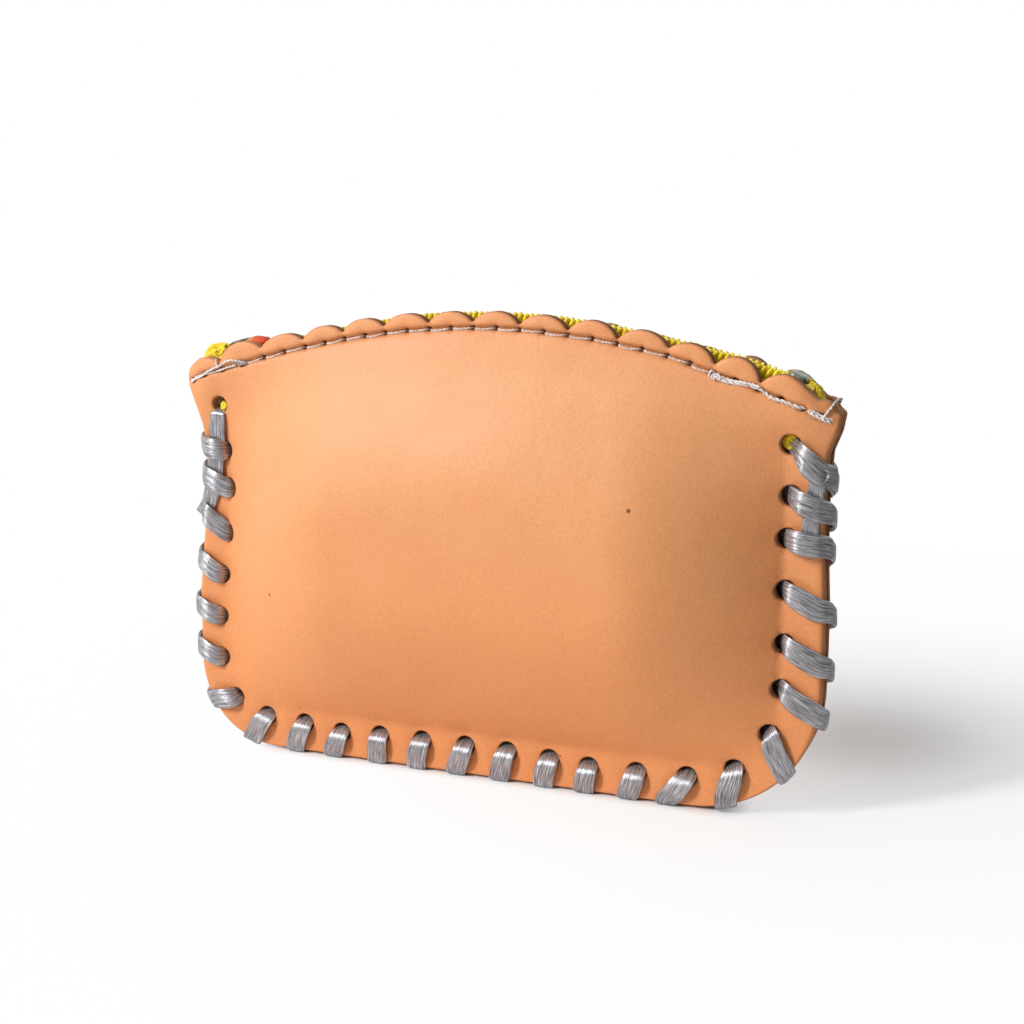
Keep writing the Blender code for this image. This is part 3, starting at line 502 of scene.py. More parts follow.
def softened(loop, reach):
    """A closed line whose corners are rounded over a number of its points."""
    weights = np.hanning(2 * reach + 3)[1:-1]
    weights /= weights.sum()
    return sum(weight * np.roll(loop, k - reach, axis=0) for k, weight in enumerate(weights))


def distance_to(line, closed=False):
    """A measure of how far points (x, z) are from a line."""
    fine = even_line(line, 0.03, closed)
    tree = KDTree(len(fine))
    for k, (x, z) in enumerate(fine):
        tree.insert((x, z, 0.0), k)
    tree.balance()
    return lambda points: np.array([tree.find((x, z, 0.0))[2] for x, z in points])


def arc_angle(x):
    """Where a place along the width lies on the top edge's arc."""
    return math.asin(x / ARC_RADIUS)


def top_edge():
    """The scalloped edge from right to left: round lobes, and a plain piece at each end."""
    points = [on_arc(arc_angle(x), ARC_RADIUS - drop) for x, drop in RIGHT_END[::-1]]
    ends = [(2 * LAST_PEAK - NOTCHES[-1][0], NOTCHES[-1][1])] + list(NOTCHES[::-1])
    ends.append((2 * FIRST_PEAK - NOTCHES[0][0], NOTCHES[0][1]))
    for (right, right_drop), (left, left_drop), lobe in zip(ends, ends[1:], LOBE_RISES[::-1]):
        for share in np.linspace(1, -1, 61)[:-1]:
            x = (right + left) / 2 + share * (right - left) / 2
            if not FIRST_PEAK <= x <= LAST_PEAK:
                continue
            deep = lobe + (right_drop if share > 0 else left_drop)
            fall = 1 - math.sqrt(1 - LOBE_ROUNDNESS * share**2)
            round_off = fall / (1 - math.sqrt(1 - LOBE_ROUNDNESS))
            points.append(on_arc(arc_angle(x), ARC_RADIUS + lobe - deep * round_off))
    return points + [on_arc(arc_angle(x), ARC_RADIUS - drop) for x, drop in LEFT_END]


def make_outline():
    """A panel's edge as points (x, z), anticlockwise from the right end of its bottom."""
    turns = np.linspace(0, math.pi / 2, 24)
    corners = []
    for side, radius in ((1, RIGHT_BOTTOM_RADIUS), (-1, LEFT_BOTTOM_RADIUS)):
        x, z = side * (HALF_WIDTH - radius), LEATHER_BOTTOM + radius
        corners.append([(x + side * radius * math.sin(t), z - radius * math.cos(t)) for t in turns])
    points = corners[0] + list(RIGHT_SIDE[::-1]) + top_edge() + list(LEFT_SIDE) + corners[1][::-1]
    fine = softened(even_line(points, 0.06, closed=True), 7)
    return even_line(fine, 0.3, closed=True)


OUTLINE = make_outline()
EDGE_AHEAD = unit(np.roll(OUTLINE, -1, axis=0) - np.roll(OUTLINE, 1, axis=0))
EDGE_OUT = np.column_stack([EDGE_AHEAD[:, 1], -EDGE_AHEAD[:, 0]])
from_edge = distance_to(OUTLINE, closed=True)


def from_holes(points):
    """How far points (x, z) are from the nearest lace hole's edge."""
    return np.min([np.hypot(*(points - hole).T) - radius
                   for hole, radius in zip(HOLES, HOLE_RADII)], axis=0)


# The seam's needle holes: under each notch and each lobe, and out to both corners
SEAM_LEFT, SEAM_RIGHT = arc_angle(-48.7), arc_angle(48.6)
UNDER_NOTCHES = [arc_angle(x) for x, drop in NOTCHES]
UNDER_LOBES = [(a + b) / 2 for a, b in zip(UNDER_NOTCHES, UNDER_NOTCHES[1:])]
OUT_TO_CORNERS = [SEAM_LEFT, arc_angle(-46.0), arc_angle(43.4), arc_angle(46.3), SEAM_RIGHT]
NEEDLE_ANGLES = sorted(OUT_TO_CORNERS + UNDER_NOTCHES + UNDER_LOBES)


def rounding(distance, radius):
    """How far a rounded edge falls away at a distance from the edge."""
    inward = np.clip(radius - distance, 0, radius)
    return radius - np.sqrt(radius**2 - inward**2)


def waviness(points, size, seed):
    """Slow unevenness between -1 and 1, with lumps of about a given size."""
    return np.array([noise.noise(Vector((x / size, z / size, seed))) for x, z in points])


def seam_line(angles, aside=0.0):
    """Points (x, z) on the seam, or a little above or below it."""
    inset = np.interp(np.sin(angles) * ARC_RADIUS, *np.array(SEAM_INSETS).T)
    return on_arc(np.asarray(angles), ARC_RADIUS - inset + aside)


NEEDLE_HOLES = seam_line(NEEDLE_ANGLES)
from_seam = distance_to(seam_line(np.linspace(SEAM_LEFT, SEAM_RIGHT, 160)))


def measured(points):
    """How far points (x, z) are from the cut edge, the lace holes, the seam and its needles."""
    needle = np.min([np.hypot(*(points - p).T) for p in NEEDLE_HOLES], axis=0)
    return from_edge(points), np.maximum(from_holes(points), 0), from_seam(points), needle


def outer_level(points, distances, side, dented=True):
    """How far a panel's outer face is from the middle plane: smooth over the pillow, drawn in
    at the lace holes and the seam, puffed out above the seam, and rounded at its cut edges."""
    edge, hole, seam, needle = distances
    x, z = points.T
    if side == BACK:
        z = lowered(x, z)
    # Only the sides, beyond 45 mm from the middle and below the corners, are rubbed rounder
    by_position = SIDE_ROUND * smooth((np.abs(x) - 45) / 3) * smooth((57 - z) / 5)
    level = face_level(x, z) - rounding(edge, EDGE_ROUND + by_position) - rounding(hole, HOLE_ROUND)
    level -= SEAM_GROOVE * np.exp(-(seam / SEAM_GROOVE_WIDTH)**2)
    level -= LACE_PULL * np.exp(-((hole + HOLE_RADIUS) / LACE_PULL_WIDTH)**2)
    above = below_arc(*points.T) < np.interp(points[:, 0], *np.array(SEAM_INSETS).T)
    puff = LOBE_PUFF * smooth(seam / 0.9) * smooth((edge - 0.1) / 1.2) * smooth(needle / 1.6)
    level += np.where(above, puff, 0)
    lumps = (BROAD_LUMPS[0] * waviness(points, BROAD_LUMPS[1], side)
             + FINE_LUMPS[0] * waviness(points, FINE_LUMPS[1], side * 3))
    level += smooth(edge / 5) * lumps
    return level - (NEEDLE_DENT * np.exp(-(needle / NEEDLE_WIDTH)**2) if dented else 0)


def inside_outline(points):
    """Whether points lie inside a panel's edge."""
    crossings = np.zeros(len(points), int)
    for (x1, z1), (x2, z2) in zip(OUTLINE, np.roll(OUTLINE, -1, axis=0)):
        if z1 != z2:
            between = (z1 > points[:, 1]) != (z2 > points[:, 1])
            reached = (x2 - x1) * (points[:, 1] - z1) / (z2 - z1) + x1
            crossings += between & (points[:, 0] < reached)
    return crossings % 2 == 1


# Rows of corners in a panel's mesh: inside its edge, round each hole, and below and above the
# seam; and the spacing of the grid between them
EDGE_ROWS = (0.06, 0.18, 0.35, 0.5, 0.8)
HOLE_ROWS = (0.0, 0.04, 0.12, 0.22, 0.35, 0.7)
SEAM_ROWS = (-0.9, -0.65, -0.45, -0.3, -0.15, 0.0, 0.15, 0.3, 0.45, 0.65, 0.9, 1.25)
GRID = 0.8


def panel_layout():
    """Points (x, z) all over a panel, closer where the leather bends, and its triangles."""
    parts = [OUTLINE]
    for inset in EDGE_ROWS:
        ring = OUTLINE - EDGE_OUT * inset
        parts.append(ring[from_edge(ring) > inset - 0.01])
    edges = [(k, (k + 1) % len(OUTLINE)) for k in range(len(OUTLINE))]
    turns = np.linspace(0, 2 * math.pi, 28, endpoint=False)
    circle = np.column_stack([np.cos(turns), np.sin(turns)])
    first = sum(len(part) for part in parts)
    for hole, radius in zip(HOLES, HOLE_RADII):
        parts += [hole + circle * (radius + inset) for inset in HOLE_ROWS]
        edges += [(first + k, first + (k + 1) % len(circle)) for k in range(len(circle))]
        first += len(HOLE_ROWS) * len(circle)
    seam_angles = np.arange(SEAM_LEFT, SEAM_RIGHT, 0.3 / ARC_RADIUS)
    for aside in SEAM_ROWS:
        row = seam_line(seam_angles, aside)
        parts.append(row[from_edge(row) > 0.62])
    across, up = np.meshgrid(np.arange(-51, 52, GRID), np.arange(0, 70, GRID))
    across[::2] += GRID / 2
    grid = np.column_stack([across.ravel(), up.ravel()])
    grid = grid[inside_outline(grid)]
    clear = (from_edge(grid) > 1.1) & (from_holes(grid) > 1.0) & (from_seam(grid) > 1.25)
    flat = np.vstack(parts + [grid[clear]])
    rim = list(range(len(OUTLINE)))
    result = delaunay_2d_cdt([Vector(p) for p in flat], edges, [rim], 1, 1e-7)
    points = np.array([tuple(p) for p in result[0]])
    faces = np.array([f for f in result[2] if len(f) == 3])
    return points, faces[from_holes(points[faces].mean(axis=1)) > -0.02]


def open_edges(faces):
    """The edges that only one triangle has, in the direction of their faces."""
    sides = np.vstack([faces[:, [0, 1]], faces[:, [1, 2]], faces[:, [2, 0]]])
    known = {(a, b) for a, b in sides.tolist()}
    return sorted((a, b) for a, b in known if (b, a) not in known)


def leather_panel(name, side, layout, materials, replaces):
    """One panel: hide that was wetted and moulded, so it is smooth over the pillow, drawn in
    at the lace holes and along the seam, and rounded off at its cut edges."""
    flat, faces = layout
    edge, hole, seam, needle = distances = measured(flat)
    outer = outer_level(flat, distances, side)
    x, z = flat.T
    if side == BACK:
        z = lowered(x, z)
    inner = half_gap(x, z) + 0.1 * (edge < 0.01)
    count = len(flat)
    vertices = np.vstack([np.column_stack([x, side * level, z]) for level in (outer, inner)])
    outside, inside = faces.tolist(), (faces[:, ::-1] + count).tolist()
    rim = [(b, a, a + count, b + count) for a, b in open_edges(faces)]
    every = outside + rim + inside
    if side == BACK:
        every = [f[::-1] for f in every]
    panel = make_piece(name, vertices, every, materials, slot="tan_leather", replaces=replaces)
    kinds = [0] * len(outside) + [1] * len(rim) + [2] * len(inside)
    panel.data.polygons.foreach_set("material_index", kinds)
    panel.data.set_sharp_from_angle(angle=math.radians(60))
    for label, values in (("from_cut_edge", np.minimum(edge, hole)), ("from_seam", seam),
                          ("from_needle", needle)):
        stored = panel.data.attributes.new(label, "FLOAT", "POINT")
        stored.data.foreach_set("value", np.tile(values, 2).astype(np.float32))


layout = panel_layout()
leather_finishes = [vegetable_tanned_leather(), cut_leather(), flesh_side()]
leather_panel("front_panel_leather", FRONT, layout, leather_finishes, ["front_panel"])
leather_panel("back_panel_leather", BACK, layout, leather_finishes, ["back_panel"])


# ---------------------------------------------------------------- lace

# The lace is a flat braid of satin floss. Along its path each row holds a place, half its
# width, its thickness, and the direction its width lies in.
LACE_SEAT = 0.36
LACE_HALF, LACE_HALF_IN_HOLE = 1.6, 1.4
LACE_THICK, LACE_THICK_IN_HOLE = 0.7, 0.9
# It is gathered up where it fills a hole, and spread out flat where a stitch leaves its hole
LACE_THICK_GATHERED, LACE_THICK_SPREAD = 1.9, 0.6
# How far it stands off the leather's edge, along the bottom and at the sides, and on its faces
EDGE_CLEARANCE, SIDE_CLEARANCE = 0.42, 0.75
FRONT_ARCH, BACK_ARCH = 0.5, 0.15
# How far it moves on along the edge for each half of the way round it
EDGE_DRIFT = 1.15
# Where it goes round the edge: (y, how far off the edge as a share of its clearance and in
# millimetres, how far along as a share of EDGE_DRIFT, how much narrower it is)
WRAP = ((-2.5, 0, 0.1, 0.15, 0.08), (-1.5, 1, -0.08, 0.5, 0.2), (0.0, 1, 0.0, 1.0, 0.32),
        (1.5, 1, -0.08, 1.5, 0.2), (2.5, 0, 0.1, 1.85, 0.08))
# The tucked ends, as (x, z, half its width there), and how far stitches are lifted over them
RIGHT_TAIL = ((46.3, 38.6, 1.5), (46.6, 42.0, 1.15), (47.1, 45.6, 1.15), (47.4, 48.0, 1.15),
              (47.7, 49.2, 1.15))
LEFT_TAIL = ((-43.9, 51.1, 1.4), (-44.2, 48.0, 1.4), (-44.6, 44.5, 1.4), (-45.2, 41.0, 1.4),
             (-46.2, 38.4, 1.3), (-47.2, 36.6, 1.3))
TAIL_LIFT = 0.5
# How far beyond the first hole, along the edge, the lace goes round it for the first time
FIRST_WRAP = 3.4


def over_tails(x, z):
    """How much a stitch is lifted where it crosses one of the tucked tails."""
    lift = 0.0
    for tail in (RIGHT_TAIL, LEFT_TAIL):
        places = np.array(sorted(tail, key=lambda p: p[1]))
        aside = abs(x - np.interp(z, places[:, 1], places[:, 0]))
        if places[0, 1] - 1.5 < z < places[-1, 1] + 3.0:
            lift = max(lift, TAIL_LIFT * float(smooth((2.9 - aside) / 1.5)))
    return lift


def lace_row(x, y, z, half, thick, along):
    """One row of the path, never below the ground."""
    return [x, y, max(z, thick / 2 + 0.01), half, thick, along[0], 0.0, along[1]]


def lace_leg(start, end, side, halves, along):
    """The lace lying on a panel's face between two places (x, z)."""
    rows = []
    steps = max(int(np.hypot(*(end - start)) / 0.7), 2)
    for share in np.linspace(0, 1, steps + 1):
        x, z = start + (end - start) * share
        lift = over_tails(x, z) if side == FRONT else 0.0
        arch = (FRONT_ARCH if side == FRONT else BACK_ARCH) * math.sin(math.pi * share**0.8)
        level = face_level(x, z) + LACE_SEAT + lift + arch
        level = level - rounding(float(from_edge([(x, z)])[0]), EDGE_ROUND)
        half = halves[0] + (halves[1] - halves[0]) * smooth(share * 2.2)
        rows.append(lace_row(x, side * level, z, float(half), LACE_THICK, along))
    return rows


def edge_place(number):
    """Point, outward and along directions of the panels' edge, at a place along OUTLINE."""
    number %= len(OUTLINE)
    low, share = int(number), number - int(number)
    high = (low + 1) % len(OUTLINE)
    point = OUTLINE[low] * (1 - share) + OUTLINE[high] * share
    return point, EDGE_OUT[low], -EDGE_AHEAD[low]


def lace_wrap(place, half, tighter=0.0):
    """The lace going round the panels' edge from front to back, and on along it."""
    point, out, along = place
    proud = EDGE_CLEARANCE + (SIDE_CLEARANCE - EDGE_CLEARANCE) * abs(out[0])**3 - tighter
    rows = []
    for y, share, more, drift, narrower in WRAP:
        aside = proud * share + more
        # The purse stands on the stitches, which are pressed flat under it
        pressed = float(smooth(-out[1] * 2 - 1)) if abs(y) < 2 else 0.0
        x, z = point + out * (aside + (0.16 - aside) * pressed) + along * drift * EDGE_DRIFT
        thick = LACE_THICK - 0.4 * pressed - 0.6 * tighter
        rows.append(lace_row(x, y * (1 - 0.35 * tighter), z, half - narrower, thick, along))
    return rows


def lace_tail(tail, along):
    """A loose end of the lace, lying on the front panel."""
    return [lace_row(x, -(face_level(x, z) + LACE_SEAT - 0.05), z, half, LACE_THICK_SPREAD, along)
            for x, z, half in tail]


def lace_path():
    """The whole lace: the first tail, 27 holes with a stitch round the edge between each two,
    and the last tail."""
    spacing = float(np.hypot(*(OUTLINE[1] - OUTLINE[0])))
    beside = [int(np.argmin(np.hypot(*(OUTLINE - hole).T))) for hole in HOLES]
    rows = lace_tail(RIGHT_TAIL, (1.0, 0.0))
    first = edge_place(beside[0] - FIRST_WRAP / spacing)
    rows += lace_wrap(first, 1.2, tighter=0.4)
    arriving = first[0]
    for number, hole in enumerate(HOLES):
        _, out, along = edge_place(beside[number])
        # It fills the middle of each hole, and comes up on the side that it is pulled to
        last = number == len(HOLES) - 1
        turned = (-0.7, 0.7) if last else along
        level = float(face_level(*hole)) - 0.3
        behind, inside = hole - out * 0.1, hole - out * 0.3
        before = hole + out * (-0.05 - 0.45 * max(-out[0], 0.0) - 0.3 * max(-out[1], 0.0))
        if number == 0:
            before = hole + (0.75, -0.8)
        if last:
            inside, before = hole + (-0.3, -0.5), hole + (-0.5, -1.35)
        rows += lace_leg(arriving - out * 0.7, behind + out * 0.5, BACK,
                         (LACE_HALF, LACE_HALF_IN_HOLE + 0.15), along)
        rows.append(lace_row(behind[0], level, behind[1], LACE_HALF_IN_HOLE, LACE_THICK_IN_HOLE,
                             along))
        rows.append(lace_row(inside[0], 0.0, inside[1], LACE_HALF_IN_HOLE,
                             LACE_THICK_IN_HOLE if last else LACE_THICK_GATHERED, turned))
        if last:
            break
        rows.append(lace_row(before[0], -level + 0.2, before[1], LACE_HALF_IN_HOLE,
                             LACE_THICK_SPREAD, along))
        leaving = edge_place(beside[number] - STITCH_SLANTS[number] / spacing)
        rows += lace_leg(before + out * 0.4, leaving[0] - leaving[1] * 0.6, FRONT,
                         (LACE_HALF_IN_HOLE + 0.1, LACE_HALF), leaving[2])
        rows += lace_wrap(leaving, LACE_HALF)
        arriving = leaving[0] + leaving[2] * 2 * EDGE_DRIFT
    rows.append(lace_row(before[0], -level, before[1], 1.2, 0.8, (-1.0, 0.0)))
    return rows + lace_tail(LEFT_TAIL, (-1.0, 0.0))


# Strands side by side across the lace's outer face, and the steps across its plain inner face
STRANDS, INNER_STEPS = 18, 8


def floss_section(half, thick, wobble):
    """The lace's outline across its width, as places across it and out from its middle."""
    across, out = [], []
    for k in range(2 * STRANDS + 1):
        u = -1 + k / STRANDS
        body = (1 - abs(u)**3.2)**0.55
        ridge = (0.03 if k % 2 else -0.03) * body
        across.append(half * u)
        out.append(thick / 2 * body + ridge * (1 + 0.6 * math.sin(3.1 * k + wobble)))
    for k in range(1, INNER_STEPS):
        u = 1 - 2 * k / INNER_STEPS
        across.append(half * u * 0.98)
        out.append(-thick / 2 * (1 - abs(u)**3.2)**0.55)
    return across, out


def edge_lace(material):
    """The lace as one long strap, with a map of its width and length for the floss's sheen."""
    path = rounded_path(lace_path(), 0.36, 0.55)
    places, halves, thicks, wide = path[:, :3], path[:, 3], path[:, 4], unit(path[:, 5:8])
    ahead = unit(np.gradient(places, axis=0))
    wide = unit(wide - ahead * np.sum(wide * ahead, axis=1, keepdims=True))
    outward = -np.cross(ahead, wide)
    travelled = np.concatenate([[0], np.cumsum(np.linalg.norm(np.diff(places, axis=0), axis=1))])
    vertices = []
    for k, place in enumerate(places):
        across, out = floss_section(halves[k], thicks[k], travelled[k] * 0.9)
        sway = 0.05 * math.sin(travelled[k] * 1.3)
        vertices += [place + wide[k] * (a + sway) + outward[k] * o for a, o in zip(across, out)]
    around = len(across)
    lace = make_piece("silver_floss_lace", vertices, ring_faces(len(places), around), [material],
                      slot="silver_lace", replaces=["edge_lace"])
    floss = lace.data.uv_layers.new(name="floss")
    corners = np.zeros(len(lace.data.loops), int)
    lace.data.loops.foreach_get("vertex_index", corners)
    ring, k = corners // around, corners % around
    inner_edge = 1 - 2 / INNER_STEPS
    shares = np.concatenate([np.linspace(-1, 1, 2 * STRANDS + 1),
                             np.linspace(inner_edge, -inner_edge, INNER_STEPS - 1)])
    flat = np.column_stack([shares[k] * LACE_HALF, travelled[ring]])
    floss.data.foreach_set("uv", flat.ravel().astype(np.float32))


edge_lace(satin_floss())


# ---------------------------------------------------------------- thread

THREAD = 0.18
# Where the thread was started, doubled back and knotted, on the front: (x, z, height)
LEFT_START = ((-48.9, 56.7, -0.1), (-48.0, 57.2, 0.15), (-46.8, 58.0, 0.15), (-45.2, 58.5, 0.15),
              (-43.8, 58.8, 0.2), (-42.4, 59.2, 0.3), (-41.0, 59.7, 0.25), (-39.6, 60.1, 0.3))
LEFT_SECOND = ((-48.8, 57.3, -0.2), (-47.4, 57.6, 0.25), (-45.9, 58.1, 0.35), (-44.6, 58.9, 0.3),
               (-43.4, 59.4, 0.3), (-42.2, 59.9, 0.2), (-41.2, 60.5, 0.2), (-40.2, 60.8, 0.15),
               (-38.6, 60.55, 0.05), (-37.9, 60.45, -0.5))
LEFT_BIT = ((-42.6, 59.5, 0.4), (-42.7, 60.2, 0.25), (-42.9, 60.9, 0.1))
LEFT_END_TAIL = ((-39.2, 60.2, 0.45), (-38.5, 60.3, 0.42), (-37.7, 60.45, 0.3))
RIGHT_DOUBLE = ((33.2, 61.3, 0.1), (34.8, 60.6, 0.25), (36.2, 60.3, 0.15), (37.5, 60.2, 0.25),
                (38.6, 60.0, 0.15), (39.7, 59.7, 0.25), (40.4, 59.1, 0.2), (41.1, 58.6, 0.2),
                (42.4, 58.25, 0.22), (43.6, 57.85, 0.15), (44.6, 57.5, 0.15), (45.4, 57.35, -0.3))
RIGHT_SECOND = [(x, z + 0.28, height + 0.12) for x, z, height in RIGHT_DOUBLE[:6]]
RIGHT_LAST = ((45.7, 57.1, -0.35), (46.2, 56.75, 0.12), (47.0, 56.3, 0.2), (47.9, 55.85, 0.15),
              (48.7, 55.6, 0.0), (49.1, 55.5, -0.45))
RIGHT_LAST_TWICE = [(x + 0.2, z + 0.35, height) for x, z, height in RIGHT_LAST]
# Each of these loose runs, with its radius, the length of one twist and where the twist starts
LOOSE_RUNS = (
    (LEFT_START, 0.2, 1.2, 0.0), (LEFT_SECOND, 0.19, 1.1, 0.0), (LEFT_BIT, 0.16, 1.1, 0.0),
    (RIGHT_DOUBLE, 0.25, 1.7, 0.0), (RIGHT_SECOND, 0.2, 1.2, 1.0),
    (RIGHT_LAST, 0.24, 1.5, 0.0), (RIGHT_LAST_TWICE, 0.18, 1.2, 2.0),
)


def tube(points, radius, sides):
    """Rings of corners round a line, and the faces that close them into a tube."""
    points = np.asarray(points, float)
    ahead = unit(np.gradient(points, axis=0))
    across = np.cross(ahead[0], (0.0, 1.0, 0.1))
    turns = np.linspace(0, 2 * math.pi, sides, endpoint=False)
    vertices = []
    for point, direction in zip(points, ahead):
        across = unit(across - direction * (across @ direction))
        up = np.cross(direction, across)
        vertices += [point + radius * (across * math.cos(t) + up * math.sin(t)) for t in turns]
    return vertices, ring_faces(len(points), sides)


def together(parts):
    """Several closed forms as the corners and faces of one."""
    vertices, faces = [], []
    for more, joined in parts:
        faces += [[k + len(vertices) for k in face] for face in joined]
        vertices += more
    return vertices, faces


def twisted(points, radius, pitch, plies, phase=0.0):
    """Plies laid round each other along a line, which makes one thread of them."""
    points = np.asarray(points, float)
    travelled = np.concatenate([[0], np.cumsum(np.linalg.norm(np.diff(points, axis=0), axis=1))])
    ahead = unit(np.gradient(points, axis=0))
    across = unit(np.cross(ahead, (0.0, 1.0, 0.05)))
    up = np.cross(ahead, across)
    parts = []
    for ply in range(plies):
        turn = (2 * math.pi * (travelled / pitch + ply / plies) + phase)[:, None]
        line = points + radius * 0.52 * (across * np.cos(turn) + up * np.sin(turn))
        parts.append(tube(line, radius * 0.56, 7))
    return together(parts)


def on_leather(x, z, side, height):
    """A place at a height over a panel's outer face, needle holes left out."""
    point = np.array([(x, z)])
    level = float(outer_level(point, measured(point), side, dented=False)[0])
    return (x, side * (level + height), z if side == FRONT else float(lowered(x, z)))


def laid(rows):
    """A line of thread on the front, from its places and its heights over the leather."""
    return rounded_path([on_leather(x, z, FRONT, height) for x, z, height in rows], 0.2, 0.35)


def stitches(side, angles, phase):
    """Sewn stitches between neighbouring needle holes: each comes up beside one hole, sags a
    little and dives into the next."""
    parts = []
    for number, (start, end) in enumerate(zip(angles, angles[1:])):
        uneven = 0.09 * math.sin(2.3 * number + phase)
        rows = []
        for share in np.linspace(0.08, 0.95, 13):
            sag = (0.2 + uneven) * math.sin(math.pi * share**0.8)
            x, z = seam_line(start + (end - start) * share, -sag)
            height = THREAD - 0.02 - 1.1 * max(abs(2 * share - 1) - 0.55, 0)**2 / 0.2
            rows.append(on_leather(x, z, side, height))
        parts.append(twisted(rounded_path(rows, 0.2, 0.15), THREAD, 0.95, 2, phase + 1.7 * number))
    return together(parts)


def corner_wrap():
    """One strand from the last stitch up over the corner and down behind it."""
    level = float(face_level(49.0, 57.5))
    rows = [on_leather(47.7, 56.1, FRONT, 0.2), on_leather(48.2, 56.8, FRONT, 0.22),
            on_leather(48.7, 57.5, FRONT, 0.2)]
    rows += [(49.05, -level + 0.2, 58.1), (49.2, 0.0, 58.4), (49.05, level - 0.2, 58.1)]
    rows += [on_leather(48.7, 57.4, BACK, 0.2), on_leather(48.2, 56.4, BACK, 0.1)]
    return twisted(rounded_path(rows, 0.2, 0.4), 0.17, 1.2, 2)


def knot():
    """The fluffy knot at the end of the seam: seven tight loops of thread, pulled out along it."""
    turns = np.linspace(0, 2 * math.pi * 7, 220)
    share = turns / turns[-1]
    x, z = 32.9 + 1.7 * share, 61.55 - 0.75 * share
    fat = 0.42 - 0.22 * share
    loops = [on_leather(u + 0.3 * math.sin(t * 0.7), v + f * math.sin(t), FRONT,
                        0.3 + 0.28 * math.cos(t * 1.1)) for u, v, f, t in zip(x, z, fat, turns)]
    return tube(loops, 0.13, 6)


def seam_thread(material, leather_tinted_thread, shadowed):
    """The white sewing thread that holds the zip in: a row of stitches on both panels, with
    its start, its knot and its wrap round the right corner on the front."""
    plain = [a for a in NEEDLE_ANGLES if -39.8 < math.sin(a) * ARC_RADIUS < 34.5]
    rows = together([stitches(FRONT, plain, 0.0), stitches(BACK, NEEDLE_ANGLES, 0.9)])
    # The stitches' pinkish tint is a painted reflection of the tan leather around them
    make_piece("seam_stitches", *rows, [leather_tinted_thread], slot="white_thread")
    loose = [twisted(laid(rows), radius, pitch, 2, phase)
             for rows, radius, pitch, phase in LOOSE_RUNS]
    make_piece("top_seam_thread", *together(loose + [corner_wrap(), knot()]), [material],
               slot="white_thread", replaces=["seam_thread"])
    # The start tail is the white thread darkened with painted shade
    make_piece("thread_start_tail", *twisted(laid(LEFT_END_TAIL), 0.26, 1.2, 3), [shadowed],
               slot="white_thread")


# The second finish is tinted with a painted reflection of the leather; the third is darkened with
# painted shade
seam_thread(sewing_thread("white_polyester_thread", "#C2B5B4", "#FAF3F0"),
            sewing_thread("thread_with_painted_leather_glow", "#B09284", "#F2DDD0"),
            sewing_thread("thread_end_in_painted_shade", "#77706E", "#B3ABA8"))


# ---------------------------------------------------------------- zip

ZIP_DEPTH = 2.2
TAPE_TOP, TAPE_THICK = ARC_RADIUS - ZIP_DEPTH, 0.45
TAPE_LEFT, TAPE_RIGHT = arc_angle(-47.4), arc_angle(46.4)
# A row of teeth is one wound wire: its reach from the middle, its height and its two ends
COIL_NEAR, COIL_FAR = 0.3, 1.65
COIL_LOW, COIL_HIGH = TAPE_TOP + 0.3, ARC_RADIUS - 0.02
COIL_LEFT, COIL_RIGHT = arc_angle(-43.6), arc_angle(42.8)
COIL_WIRE, COIL_PITCH = 0.29, 0.86
COIL_STEPS = 14
# The zip isn't sewn in quite evenly: how far its teeth lie lower, as (x, how far)
ZIP_WAVE = ((-48, 0.3), (-38, 0.7), (-24, 0.7), (-16, 0.45), (-8, 0.1), (10, 0.1), (20, 0.35),
            (28, 0.4), (33, 0.3), (35, 0.2), (42, 0.2), (43, 0.0), (48, 0.0))
# The bunched tape at each end, as (x, how far over the arc it reaches), and where its lowest
# layer lies
LEFT_BUNCH = ((-46.9, 0.6), (-46.1, 1.6), (-45.0, 1.75), (-43.9, 1.5), (-43.1, 1.15))
RIGHT_BUNCH = ((45.2, 0.0), (46.0, -0.25), (47.0, -0.8), (47.9, -1.7))
LEFT_BUNCH_LOW, RIGHT_BUNCH_LOW = -1.6, -2.8
BUNCH_LAYERS = 5
# The tape that is pressed against the two top lace holes: (x, y, z, size)
TAPE_IN_HOLES = ((-43.05, -2.1, 53.6, 0.8), (43.3, -1.3, 52.6, 1.5))
SLIDER_MIDDLE, SLIDER_HALF = -0.30927, 3.5 / ARC_RADIUS
SLIDER_WIDE, SLIDER_NARROWER = 2.1, 0.45
# The bridge: a thin strap that rises at the left end and runs down to the right, as (how far
# along from the slider's middle, height over the arc)
BRIDGE = ((-2.3, 0.15), (-2.25, 0.75), (-1.9, 1.04), (-1.0, 1.1), (0.2, 1.04), (1.4, 0.9),
          (2.0, 0.6), (2.05, 0.15))
STOP_LEFT, STOP_RIGHT = arc_angle(42.8), arc_angle(45.3)
STOP_HALF = 1.62
TAB_LENGTH = 4.5
TAB_CURL = 0.8


def on_zip(angle, radius, y):
    """A place (x, y, z) in the zip, at an angle and a radius of the top edge's arc."""
    x, z = on_arc(angle, radius)
    return x, y, z


def zip_sag(x):
    return float(np.interp(x, *np.array(ZIP_WAVE).T))


